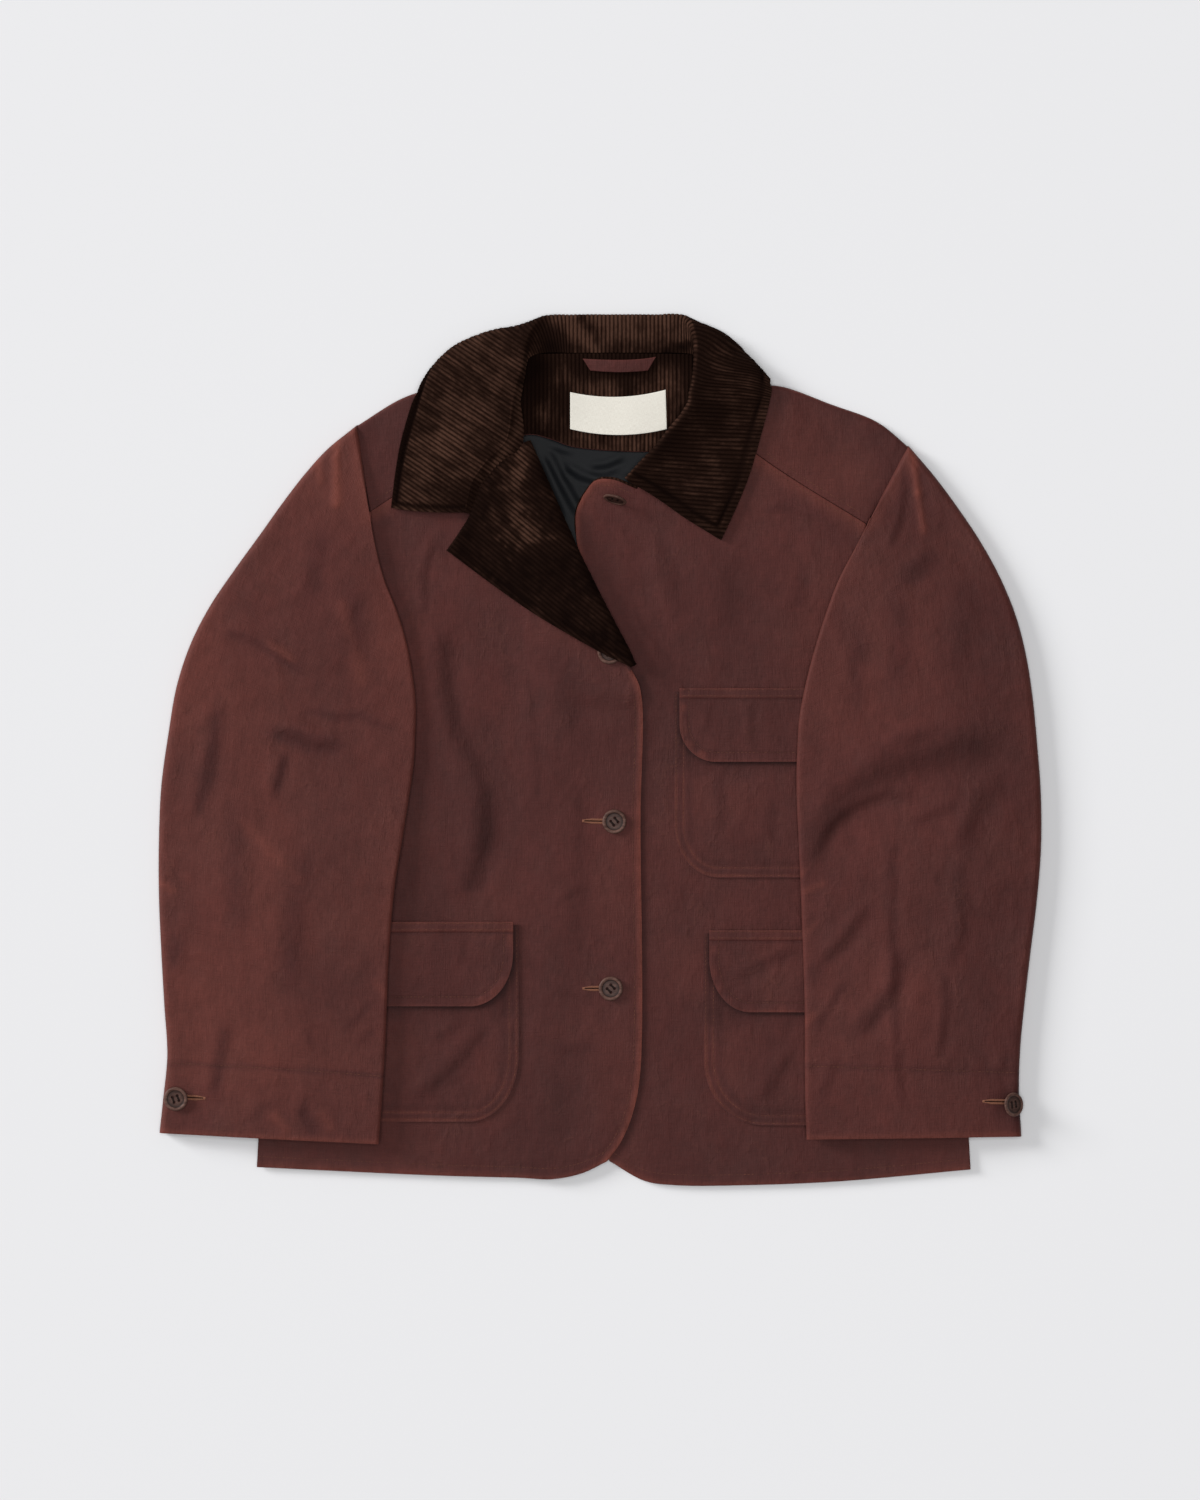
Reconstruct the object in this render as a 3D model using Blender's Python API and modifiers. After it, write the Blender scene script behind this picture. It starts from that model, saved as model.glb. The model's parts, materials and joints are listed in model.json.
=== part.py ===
"""Waxed cotton chore jacket, laid flat on its back with the sleeves over the fronts.

Every length below is in millimetres; meshes are made in metres.
+X is the wearer's left, +Y runs up to the collar, +Z is up from the surface it lies on.
Sides are the wearer's: right is -X, left is +X.
"""
import math

import bmesh
import bpy
from mathutils import Vector

MM = 0.001

# Cloth walls and clearances
WAX = 1.6            # waxed cotton with its backing
SLEEVE_WALL = 1.7    # waxed cotton with the sleeve lining
CORD = 2.2           # corduroy facing
COLLAR_WALL = 3.0    # upper and under collar, sewn together
LINING = 1.0
FACING_EDGE = 1.4    # turned edge of the left front's facing
SEAM = 0.3           # space between two pieces that meet
LIE = 0.5            # space between two pieces that lie on each other

# Body: plan sizes
HEM_RIGHT_X, HEM_LEFT_X = -288.0, 311.0
HEM_SIDE_Y = -350.0
UNDERARM_RIGHT = (-263.0, 78.0)
UNDERARM_LEFT = (286.0, 80.0)
EDGE_X = 34.0        # front edge of the lapped front
BREAK = (31.0, 72.0)     # where the lapel starts to roll
ROLL_TOP = (-56.0, 255.0)
LAPEL_TIP = (-127.0, 166.0)
NOTCH = (-105.0, 197.0)
NECK_Y = 331.0       # back neck seam

# Body: how far apart its layers lie
GAP_HEM, GAP_CHEST, GAP_SHOULDER = 1.0, 2.0, 3.6
COLLAR_LIFT = COLLAR_WALL + 0.6     # the collar leaf lies under the back of the neck
LAP_STEP = WAX + 0.4                # the lapped front lies over the other one
ROLL_STEP = CORD + LIE + SEAM       # and over its own facing beside the roll
ROLL_GAP = 3.8                      # space inside the lapel's roll
ROLL_RADIUS = WAX + ROLL_GAP / 2
ROLL_OUT = ROLL_RADIUS + LIE + CORD

# Sleeve section
SLEEVE_HEIGHT = 2 * SLEEVE_WALL + 3.2
UNDER_TURN = 14.0    # the top sleeve turns this far under at both edges
FLOOR_RAMP = 30.0    # the sleeve comes down to the floor this far outside the body
POCKET_STACK = 4.2   # what a pocket and its flap add under a sleeve

# Buttons
BUTTON_R = 10.1
BUTTON_T = 2.8
HOLE_R = 1.1
HOLE_OFF = 2.1


def ease(low, high, value):
    """0 at low, 1 at high, smooth between; low may be the larger."""
    t = min(1.0, max(0.0, (value - low) / (high - low)))
    return t * t * (3.0 - 2.0 * t)


def spline(points, t):
    """Point at 0..1 of a centripetal Catmull-Rom curve through the points."""
    pts = [Vector(p) for p in points]
    last = len(pts) - 1
    place = min(max(t, 0.0), 1.0) * last
    i = min(int(place), last - 1)
    f = place - i
    a, b = pts[i], pts[i + 1]
    before = pts[i - 1] if i > 0 else a * 2 - b
    after = pts[i + 2] if i + 2 <= last else b * 2 - a
    d0, d1, d2 = (max(math.sqrt(step.length), 1e-6) for step in (a - before, b - a, after - b))
    leave = ((a - before) / d0 - (b - before) / (d0 + d1) + (b - a) / d1) * d1
    arrive = ((b - a) / d1 - (after - a) / (d1 + d2) + (after - b) / d2) * d1
    g = 1.0 - f
    return a * (g * g * (1 + 2 * f)) + leave * (f * g * g) + b * (f * f * (3 - 2 * f)) - arrive * (f * f * g)


def line(points, count, smooth=True, spread=1.0):
    """count points along the curve or polyline, even by length (spread 1) or denser at its start."""
    fine = 16 * (len(points) - 1)
    if smooth:
        track = [spline(points, k / fine) for k in range(fine + 1)]
    else:
        track = [Vector(p) for p in points]
    run = [0.0]
    for a, b in zip(track, track[1:]):
        run.append(run[-1] + (b - a).length)
    out = []
    for k in range(count):
        want = run[-1] * (k / (count - 1)) ** spread
        i = max(j for j in range(len(run) - 1) if run[j] <= want + 1e-9)
        f = (want - run[i]) / max(run[i + 1] - run[i], 1e-9)
        out.append(track[i].lerp(track[i + 1], f))
    return out


def patch(bottom, top, left, right):
    """Coons patch between four plan curves; rows run from bottom to top."""
    rows = []
    for j, (l, r) in enumerate(zip(left, right)):
        v = j / (len(left) - 1)
        row = []
        for i, (b, t) in enumerate(zip(bottom, top)):
            u = i / (len(bottom) - 1)
            corners = (bottom[0] * (1 - u) + bottom[-1] * u) * (1 - v)
            corners += (top[0] * (1 - u) + top[-1] * u) * v
            row.append(b * (1 - v) + t * v + l * (1 - u) + r * u - corners)
        rows.append(row)
    return rows


def fold_height(folds, x, y):
    """Height that a table of folds adds at a plan point."""
    total = 0.0
    for x0, y0, x1, y1, width, height in folds:
        a = Vector((x0, y0))
        along = Vector((x1, y1)) - a
        t = (Vector((x, y)) - a).dot(along) / along.length_squared
        off = (Vector((x, y)) - a - along * min(1.0, max(0.0, t))).length
        total += height * math.exp(-(off / width) ** 2)
    return total


# ---------------------------------------------------------------- scene, materials
for old in list(bpy.data.objects):
    bpy.data.objects.remove(old, do_unlink=True)

jacket = bpy.data.collections.new("waxed_jacket")
cutters = bpy.data.collections.new("cutters")
bpy.context.scene.collection.children.link(jacket)
bpy.context.scene.collection.children.link(cutters)


def finish(name, color, roughness):
    material = bpy.data.materials.new(name)
    material.use_nodes = True
    shader = material.node_tree.nodes["Principled BSDF"]
    shader.inputs["Base Color"].default_value = (*color, 1.0)
    shader.inputs["Roughness"].default_value = roughness
    shader.inputs["Metallic"].default_value = 0.0
    return material


COLORS = {
    "wax": ((0.085, 0.033, 0.030), 0.55),
    "cord": ((0.020, 0.010, 0.007), 0.9),
    "lining": ((0.011, 0.011, 0.013), 0.6),
    "label": ((0.80, 0.76, 0.68), 0.8),
    "button": ((0.045, 0.028, 0.022), 0.35),
}


def add_object(name, mesh, kind):
    obj = bpy.data.objects.new(name, mesh)
    jacket.objects.link(obj)
    mesh.materials.append(finish(name + "_finish", *COLORS[kind]))
    return obj


def loft(name, rows, wall, offset, kind):
    """A cloth wall: rows of points (mm) made a surface, then given its thickness.

    A row holds None where the cloth doesn't reach as far as in its other rows.
    """
    points = []
    index = {}
    for j, row in enumerate(rows):
        for i, p in enumerate(row):
            if p is not None:
                index[j, i] = len(points)
                points.append(tuple(c * MM for c in p))
    faces = []
    for j, i in index:
        ring = ((j, i), (j, i + 1), (j + 1, i + 1), (j + 1, i))
        if all(place in index for place in ring):
            faces.append([index[place] for place in ring])
    mesh = bpy.data.meshes.new(name)
    mesh.from_pydata(points, [], faces)
    bm = bmesh.new()
    bm.from_mesh(mesh)
    bmesh.ops.remove_doubles(bm, verts=bm.verts, dist=1e-6)
    bm.to_mesh(mesh)
    bm.free()
    mesh.shade_smooth()
    obj = add_object(name, mesh, kind)
    solid = obj.modifiers.new("wall", "SOLIDIFY")
    solid.thickness = wall * MM
    solid.offset = offset
    return obj


# ---------------------------------------------------------------- how the layers lie
def lift(x, y):
    """Height of the back's underside: up on the collar leaf at the neck, on the floor elsewhere."""
    return COLLAR_LIFT * ease(210, 284, y) * ease(-196, -142, x) * ease(200, 144, x)


def body_gap(y):
    """Space between back and front."""
    chest = GAP_HEM + (GAP_CHEST - GAP_HEM) * ease(-180, -70, y)
    return chest + (GAP_SHOULDER - GAP_CHEST) * ease(58, 185, y)


def front_base(x, y):
    """Underside of a front that lies straight on the back."""
    return lift(x, y) + WAX + body_gap(y)


RIGHT_FOLDS = [   # x0, y0, x1, y1, half width, height
    (-150, 80, -128, 22, 13, -1.1),
    (-128, 22, -100, -42, 12, -1.2),
    (-100, -42, -95, -92, 11, -0.8),
    (-120, 40, -76, -60, 16, 0.9),
    (-56, 44, -50, -48, 9, -1.1),
    (-38, 60, -34, -40, 13, 0.6),
    (-70, -128, -8, -112, 8, -0.5),
    (-60, -262, -20, -330, 14, 0.6),
    (-150, 175, -120, 120, 10, 0.7),
]
LEFT_FOLDS = [
    (18, 190, 44, 92, 11, 0.6),
    (60, 150, 62, 70, 12, -1.0),
    (138, 196, 178, 200, 8, -1.3),
    (120, 170, 150, 150, 12, 0.5),
    (50, -110, 74, -142, 9, -0.6),
    (44, -190, 56, -300, 12, 0.6),
]


def lapped_base(x, y, roll_distance):
    """Underside of the right front: it steps up over the left front and over its own facing."""
    step = LAP_STEP * ease(-78, -34, x)
    near_roll = ease(84, 44, roll_distance) * ease(30, 52, y)
    return front_base(x, y) + step + ROLL_STEP * near_roll


# ---------------------------------------------------------------- body outline
ARMHOLE_RIGHT = [UNDERARM_RIGHT, (-232, 92), (-202, 122), (-190, 160), (-192.4, 200)]
ARMHOLE_LEFT = [UNDERARM_LEFT, (256, 95), (231, 125), (222, 158), (223.2, 189.6)]
SEAM_RIGHT = [(-192.4, 200), (-130, 241), (-72, 284)]
SEAM_LEFT = [(223.2, 189.6), (150, 235), (82, 284)]
SHOULDER_RIGHT = [(-206, 270.6), (-168, 294), (-146, 301.5), (-110, 307), (-64, 314)]
SHOULDER_LEFT = [(260.2, 253), (233, 275), (194, 290), (151, 305), (124, 306), (86, 314)]


# ---------------------------------------------------------------- back
def make_back():
    """Flat on the floor; at each shoulder it turns over and runs on to the forward seam."""
    n_shoulder, n_neck, n_side = 7, 6, 10
    turn = WAX + GAP_SHOULDER / 2

    def inset(points):
        """The shoulder line moved in by the radius of the turn."""
        out = []
        for k, p in enumerate(points):
            a = points[max(0, k - 1)]
            b = points[min(len(points) - 1, k + 1)]
            along = (b - a).normalized()
            side = Vector((along.y, -along.x))
            if side.y > 0:
                side.negate()
            out.append((p + side * turn, -side))
        return out

    right_fold = inset(line(SHOULDER_RIGHT, n_shoulder))
    left_fold = inset(list(reversed(line(SHOULDER_LEFT, n_shoulder))))
    neck = line([(-60, NECK_Y - 2), (11, NECK_Y), (82, NECK_Y - 2)], n_neck)
    top = [p for p, _ in right_fold] + neck + [p for p, _ in left_fold]
    hem = line([(HEM_RIGHT_X, HEM_SIDE_Y + 2), (11, -340), (HEM_LEFT_X, HEM_SIDE_Y)], len(top))
    arm_right = [(-191.7, 195), (-198.4, 230), top[0].to_tuple()]
    arm_left = [(223.4, 190.8), (242.4, 222), top[-1].to_tuple()]
    left_side = line([(HEM_RIGHT_X, HEM_SIDE_Y + 2), UNDERARM_RIGHT], 6) \
        + line(ARMHOLE_RIGHT[:4] + arm_right, n_side)[1:]
    right_side = line([(HEM_LEFT_X, HEM_SIDE_Y), UNDERARM_LEFT], 6) \
        + line(ARMHOLE_LEFT[:4] + arm_left, n_side)[1:]
    flat = patch(hem, top, left_side, right_side)

    points = []
    faces = []
    index = {}
    for j, row in enumerate(flat):
        for i, p in enumerate(row):
            index[j, i] = len(points)
            points.append((p.x, p.y, lift(p.x, p.y)))
    last = len(flat) - 1
    for j in range(last):
        for i in range(len(top) - 1):
            faces.append((index[j, i], index[j, i + 1], index[j + 1, i + 1], index[j + 1, i]))

    shoulders = ((0, right_fold, line(SEAM_RIGHT, n_shoulder, smooth=False)),
                 (n_shoulder + n_neck, left_fold, list(reversed(line(SEAM_LEFT, n_shoulder)))))
    for first, fold, seam in shoulders:
        ring = [[index[last, first + i] for i in range(n_shoulder)]]
        for step in range(1, 5):
            angle = math.pi * step / 4
            ids = []
            for p, out in fold:
                q = p + out * (turn * math.sin(angle))
                ids.append(len(points))
                points.append((q.x, q.y, lift(p.x, p.y) + turn * (1 - math.cos(angle))))
            ring.append(ids)
        for step in range(1, 5):
            ids = []
            for (p, _), end in zip(fold, seam):
                q = p.lerp(end + (p - end).normalized() * SEAM * 1.5, step / 4)
                ids.append(len(points))
                points.append((q.x, q.y, lift(q.x, q.y) + 2 * turn))
            ring.append(ids)
        for low, high in zip(ring, ring[1:]):
            for i in range(n_shoulder - 1):
                faces.append((low[i], low[i + 1], high[i + 1], high[i]))

    mesh = bpy.data.meshes.new("back")
    mesh.from_pydata([tuple(c * MM for c in p) for p in points], [], faces)
    mesh.shade_smooth()
    obj = add_object("back", mesh, "wax")
    solid = obj.modifiers.new("wall", "SOLIDIFY")
    solid.thickness = WAX * MM
    solid.offset = 1.0


make_back()


# ---------------------------------------------------------------- left front
LEFT_NECKLINE = [(31, 219), (44, 236), (60, 258), (76, 278), (82, 284)]
TOP_CORNER = [(-14, 214), (-4, 226), (10, 227), (31, 219)]


def left_front_grid():
    columns_neck, columns_seam = 10, 7
    shoulder = list(reversed(line(SEAM_LEFT, columns_seam)))
    top = line(TOP_CORNER, 4) + line(LEFT_NECKLINE, columns_neck - 3)[1:] + shoulder[1:]
    hem = line([(8, -345), (37, -361.5), (63, -365.2), (122, -365.2), (200, -362), (HEM_LEFT_X, -352)], len(top))
    edge = line([(8, -345), (-6, -318), (-12, -270), (-12, -60), (-13, 130)], 15) \
        + line([(-13, 130), (-20, 180), (-20, 200), (-14, 214)], 6)[1:]
    side = line([(HEM_LEFT_X, -352), UNDERARM_LEFT], 13) + line(ARMHOLE_LEFT, 8)[1:]
    return patch(hem, top, edge, side)


def open_zone_left(x, y):
    """1 where the left front lies free, 0 under sleeve, pockets and the lapped front."""
    free = ease(164, 138, x) if y < 120 else ease(215, 180, x)
    clear_lap = ease(14, 34, x) if y < 110 else ease(-10, 8, x)
    pockets = ease(40, 26, x) if y < -130 else 1.0
    chest = ease(46, 34, x) if -130 <= y < 66 else 1.0
    return free * clear_lap * pockets * chest


front_left = []
for row in left_front_grid():
    front_left.append([(p.x, p.y, front_base(p.x, p.y) + open_zone_left(p.x, p.y)
                        * fold_height(LEFT_FOLDS, p.x, p.y)) for p in row])
loft("front_left", front_left, WAX, 1.0, "wax")


# ---------------------------------------------------------------- right front and its lapel
ROLL_LINE = [BREAK, (-14, 160), ROLL_TOP]
LAPEL_EDGE = [(18, 73), (0, 81), (-50, 111), (-92, 140), LAPEL_TIP]
LAPEL_TOP = [ROLL_TOP, (-79, 240), (-96.5, 221.5), NOTCH, LAPEL_TIP]
ROLL_ROWS = 12
NECK_ROWS = 3
CURL = 4             # columns round the roll
FALL = len(LAPEL_TOP) - 1    # columns across the lapel


def roll_out(s):
    """Direction in plan in which the roll bulges."""
    along = (spline(ROLL_LINE, min(1.0, s + 0.02)) - spline(ROLL_LINE, max(0.0, s - 0.02))).normalized()
    return Vector((along.y, -along.x))


def roll_point(s):
    """Start of the curl: inside the visible roll by the curl's own depth."""
    return spline(ROLL_LINE, s) - roll_out(s) * ROLL_OUT


def roll_distance(x, y):
    return min((spline(ROLL_LINE, k / 12) - Vector((x, y))).length for k in range(13))


def lapel_row(s):
    """Plan points of the lapel at 0..1 of the roll, from the roll to the outer edge."""
    start = roll_point(s)
    end = spline(LAPEL_EDGE, s)
    row = []
    for k in range(FALL + 1):
        t = k / FALL
        straight = start.lerp(end, t)
        shift = Vector(LAPEL_TOP[k]) - roll_point(1.0).lerp(spline(LAPEL_EDGE, 1.0), t)
        row.append(straight + shift * ease(0.72, 1.0, s) * ease(0.0, 0.3, t))
    return row


def lapel_path(s, out, under):
    """Points round the roll and across the lapel, moved out from the cloth's inner side by out.

    The cloth's inner side is the body's underside and the lapel's upper side; under is how far
    the path starts inside the roll, below the body.
    """
    row = lapel_row(s)
    start = row[0]
    inward = -roll_out(s)
    base = lapped_base(start.x, start.y, 0.0)
    path = []
    if under:
        for k in (2, 1):
            p = start + inward * under * k / 2
            path.append((p.x, p.y, lapped_base(p.x, p.y, roll_distance(p.x, p.y)) - out))
    radius = ROLL_RADIUS + out
    for k in range(CURL + 1):
        angle = math.pi * k / CURL
        p = start - inward * radius * math.sin(angle)
        path.append((p.x, p.y, base + ROLL_RADIUS - radius * math.cos(angle)))
    for k in range(1, FALL + 1):
        p = row[k]
        drop = LAPEL_DROP * ease(0.15, 1.0, k / FALL) * ease(0.25, 1.0, s)
        path.append((p.x, p.y, lapped_base(p.x, p.y, roll_distance(p.x, p.y)) + 2 * ROLL_RADIUS + out - drop))
    return path


LAPEL_DROP = ROLL_GAP - 1.2   # away from the roll the lapel comes down onto the front
roll_steps = [(k / (ROLL_ROWS - 1)) ** 1.5 for k in range(ROLL_ROWS)]


def right_front_grid():
    columns = 12
    top = line(SEAM_RIGHT, columns, smooth=False)
    hem = line([(HEM_RIGHT_X, HEM_SIDE_Y), (-138, -357), (-67, -359), (-40, -360), (-15, -355), (6, -345)],
               columns)
    edge = line([(6, -345), (18, -328), (28, -303), (EDGE_X, -268), (EDGE_X, -60), (EDGE_X, 50),
                 roll_point(0.0).to_tuple()], 17)
    neckline = line([roll_point(1.0).to_tuple(), (-68, 268), SEAM_RIGHT[-1]], NECK_ROWS + 1)
    edge = edge[:-1] + [roll_point(s) for s in roll_steps] + neckline[1:]
    side = line([(HEM_RIGHT_X, HEM_SIDE_Y), UNDERARM_RIGHT], 17)[:-1] \
        + line(ARMHOLE_RIGHT, ROLL_ROWS + NECK_ROWS)
    return patch(hem, top, side, edge)


def open_zone_right(x, y):
    """1 where the right front lies free, 0 under sleeve, pocket, lapel and buttons."""
    sleeve = ease(-168, -146, x) if y < 110 else ease(-190, -165, x)
    pocket = ease(-46, -32, x) if y < -120 else 1.0
    edge = ease(4, -18, x)
    lapel = ease(20, 46, roll_distance(x, y)) if y > 70 else 1.0
    return sleeve * pocket * edge * lapel


front_right = []
break_row = 16
for j, row in enumerate(right_front_grid()):
    cells = [(p.x, p.y, lapped_base(p.x, p.y, roll_distance(p.x, p.y)) + open_zone_right(p.x, p.y)
              * fold_height(RIGHT_FOLDS, p.x, p.y)) for p in row]
    if j < break_row or j >= break_row + ROLL_ROWS:
        cells += [None] * (CURL + FALL)
    else:
        cells = cells[:-1] + lapel_path(roll_steps[j - break_row], 0.0, 0.0)
    front_right.append(cells)
loft("front_right", front_right, WAX, 1.0, "wax")


# ---------------------------------------------------------------- corduroy facings
def turned_rows(rows):
    """Rows run from the roll's underside to the lapel's edge, so the wall goes outwards."""
    return [list(reversed(row)) for row in rows]


facing = [lapel_path(s, 2 * SEAM, 9.0) for s in roll_steps]
loft("lapel_facing", turned_rows(facing), CORD, 1.0, "cord")

left_facing = []
for s in (0.0, 0.12, 0.24, 0.38, 0.5, 0.62, 0.76, 0.9, 1.0):
    edge = spline([(-16, 168), (-21, 184), (-20.5, 202), (-14, 215.5), (-3, 227.5), (10, 229), (32, 221)], s)
    inner = spline([(0, 164), (-5, 184), (-4, 198), (0, 206), (4, 212), (12, 216), (30, 209)], s)
    left_facing.append([(p.x, p.y, front_base(p.x, p.y) - SEAM)
                        for p in (edge, edge.lerp(inner, 0.5), inner)])
loft("front_left_facing", turned_rows(left_facing), FACING_EDGE, 1.0, "cord")

neck_low = [(-72, 263), (-57, 265), (-41, 261), (-24, 255), (18, 251), (46, 251), (78, 256)]
columns = 11
neck_top = line([(-60, NECK_Y - 2.5), (11, NECK_Y - 0.5), (82, NECK_Y - 2.5)], columns)
neck_facing = patch(line(neck_low, columns), neck_top,
                    line([(-72, 263), (-72.5, 286), (-66.5, 299), (-60.5, 311), (-60, NECK_Y - 2.5)], 6),
                    line([(78, 256), (85, 286), (84.5, 304), (83.5, 316), (82, NECK_Y - 2.5)], 6))


def on_back(x, y):
    return lift(x, y) + WAX + LIE


loft("back_neck_facing", [[(p.x, p.y, on_back(p.x, p.y)) for p in row] for row in neck_facing],
     CORD, 1.0, "cord")

lining_top = [p - Vector((0, 2 * SEAM)) for p in neck_facing[0]]
lining = patch(line([(-20, 158), (14, 168), (44, 190)], columns), lining_top,
               line([(-20, 158), (-50, 212), lining_top[0].to_tuple()], 7),
               line([(44, 190), (60, 224), lining_top[-1].to_tuple()], 7))
loft("lining", [[(p.x, p.y, on_back(p.x, p.y) - LIE + SEAM) for p in row] for row in lining],
     LINING, 1.0, "lining")

LABEL_T = 0.6
LABEL_CORNERS = [(-25, 269), (56, 269), (55, 302), (-25, 300)]
label_rows = []
for v in (0.0, 0.5, 1.0):
    row = []
    for u in (0.0, 0.25, 0.5, 0.75, 1.0):
        low = Vector(LABEL_CORNERS[0]).lerp(Vector(LABEL_CORNERS[1]), u)
        high = Vector(LABEL_CORNERS[3]).lerp(Vector(LABEL_CORNERS[2]), u)
        p = low.lerp(high, v)
        sag = -5.0 * 4 * u * (1 - u)
        row.append((p.x, p.y + sag, COLLAR_LIFT + WAX + CORD + LIE + 2 * SEAM))
    label_rows.append(row)
loft("label", label_rows, LABEL_T, 1.0, "label")

LOOP_T = 1.2
loop_rows = []
for low_y, low_x, high_x in ((318.0, -8, 40), (328.0, -14.5, 47)):
    row = []
    for k in range(9):
        u = k / 8
        bow = 1.4 * math.sin(math.pi * u)
        row.append((low_x + (high_x - low_x) * u, low_y, COLLAR_LIFT + WAX + CORD + LIE + 2 * SEAM + bow))
    loop_rows.append(row)
loft("hanger_loop", loop_rows, LOOP_T, 1.0, "wax")


# ---------------------------------------------------------------- collar
# One row for each section along the neck seam, from the right notch round the back to the
# left end. Each section runs from the seam up the stand, turns over at the crest and goes down
# the leaf through two points (fall, bend) to its outer edge. Heights are to the wall's middle.
COLLAR = [
    # seam x, y, z           crest x, y, z         fall x, y, z          bend x, y, z          edge x, y, z
    (-107.5, 198.0, 10.4, -113, 199, 12.0, -131, 199, 10.8, -154, 200, 9.8, -175, 203, 9.0),
    (-98.7, 222.6, 14.4, -107, 224.5, 16.8, -126, 226, 13.8, -149, 229, 11.0, -171.5, 232, 9.0),
    (-81.5, 241.4, 16.4, -92, 245, 19.8, -117, 248, 16.6, -142, 252, 12.6, -167.5, 255, 9.2),
    (-66.3, 254.2, 16.8, -79, 258, 21.2, -109, 264, 18.4, -136, 270, 13.8, -162.5, 274, 10.4),
    (-65.0, 272, 13.4, -75, 276, 21.2, -105, 284, 19.0, -132, 291, 15.0, -157, 291, 11.8),
    (-68.0, 291, 12.8, -73, 296, 21.0, -100, 306, 19.0, -129, 312, 15.4, -150, 305, 11.8),
    (-66.0, 303, 12.4, -70, 308, 20.0, -97, 320, 17.8, -125, 327, 12.4, -139.5, 320, 6.2),
    (-64.0, 315, 11.4, -66, 322, 18.4, -90, 335, 15.0, -113, 338, 8.4, -122, 321, 2.4),
    (-60.5, 328, 10.2, -61, 345, 15.0, -74, 352.5, 10.6, -93, 346, 4.0, -100, 304, 1.5),
    (-48.0, 332.8, 8.6, -49, 361.5, 8.4, -59, 356, 4.0, -56, 330, 1.5, -62, 302, 1.5),
    (-25.0, 333, 7.7, -27, 363.7, 4.8, -28, 350, 1.5, -29, 325, 1.5, -30, 300, 1.5),
    (11.0, 333, 7.7, 11, 363.9, 4.6, 11, 350, 1.5, 11, 325, 1.5, 11, 299, 1.5),
    (47.0, 333, 7.7, 49, 363.9, 4.8, 50, 350, 1.5, 51, 325, 1.5, 51, 300, 1.5),
    (68.0, 332.8, 8.6, 71, 362.5, 8.4, 81, 356, 4.0, 80, 330, 1.5, 83, 302, 1.5),
    (80.5, 330.5, 10.2, 79.5, 347, 15.4, 92, 353, 10.6, 108, 342.5, 4.2, 112, 302, 1.5),
    (86.5, 321, 12.0, 80, 325, 19.2, 103, 335, 15.0, 123, 330, 5.2, 127, 303, 1.5),
    (88.0, 306, 12.6, 78, 307, 21.0, 105, 318, 18.0, 130, 321, 12.4, 141.0, 313.5, 5.2),
    (87.0, 298, 12.6, 76, 299, 21.4, 101, 308, 19.0, 126, 312, 15.4, 142.5, 306.5, 12.4),
    (85.0, 291, 12.6, 75, 291, 21.4, 99, 299, 19.4, 123, 302, 16.0, 142.5, 295, 12.8),
    (79.0, 276, 12.2, 67, 278, 21.0, 91, 284, 18.8, 115, 286, 15.0, 139.5, 281, 11.8),
    (69.5, 261, 11.4, 56, 265, 20.0, 82, 266, 17.6, 107, 263, 13.4, 133, 257, 10.2),
    (58.5, 248, 10.6, 46, 252, 18.0, 73, 248, 15.8, 99, 240, 12.4, 125, 230, 9.4),
    (47.0, 233, 9.6, 34, 240, 15.6, 61, 230.5, 15.0, 88, 218, 12.4, 114, 203, 9.2),
    (38.0, 221.5, 9.0, 22, 227, 12.6, 45, 212.5, 14.0, 74, 192.5, 12.0, 101.5, 176, 9.2),
]
CREST_RADIUS = 2.9   # of the wall's middle where the collar turns over
LEAF_FLOOR = COLLAR_WALL / 2 + 0.2
LEAF_PLACES = (0.17, 0.33, 0.5, 0.67, 0.84, 1.0)
SHOULDER_TOP = 2 * WAX + GAP_SHOULDER   # of the back where it turns over, from its underside


def shoulder_y(x):
    """Y of the shoulder's fold at x, between the neck and the sleeves."""
    table = SHOULDER_RIGHT if x < 0 else list(reversed(SHOULDER_LEFT))
    for (x0, y0), (x1, y1) in zip(table, table[1:]):
        if x0 <= x <= x1:
            return y0 + (y1 - y0) * (x - x0) / (x1 - x0)
    return NECK_Y


def leaf_height(x, y, z):
    """Height of the leaf's middle, kept clear of the floor and of the shoulder it lies on or under."""
    beyond = y - shoulder_y(x)
    if z > lift(x, y) + SHOULDER_TOP / 2:
        return max(z, lift(x, y) + SHOULDER_TOP + COLLAR_WALL / 2 + 3 * SEAM) if beyond < 4.0 else z
    return LEAF_FLOOR if beyond < 5.0 and abs(x) < 136 else max(z, LEAF_FLOOR)


def collar_curve(column, s):
    """Point at 0..1 along the collar of one of the table's five curves."""
    return spline([row[3 * column:3 * column + 3] for row in COLLAR], s)


def collar_section(s):
    """Middle of the wall from the seam over the rounded crest to the leaf's outer edge."""
    seam, crest, fall, bend, edge = (collar_curve(column, s) for column in range(5))
    along = collar_curve(1, min(1.0, s + 0.01)) - collar_curve(1, max(0.0, s - 0.01))
    across = []
    for target in (seam, fall):
        way = target - crest
        across.append((way - way.project(along)).normalized())
    inward = (across[0] + across[1]).normalized()
    middle = crest + inward * CREST_RADIUS
    first, last = ((way * way.dot(inward) - inward).normalized() for way in across)
    arc = []
    for way in (first, (first - inward).normalized(), -inward, (last - inward).normalized(), last):
        p = middle + way * CREST_RADIUS
        arc.append(Vector((p.x, p.y, max(p.z, LEAF_FLOOR))))
    points = [seam, seam.lerp(arc[0], 0.5)] + arc
    for t in LEAF_PLACES:
        p = spline([arc[-1], fall, bend, edge], t)
        points.append(Vector((p.x, p.y, leaf_height(*p))))
    return points


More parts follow.
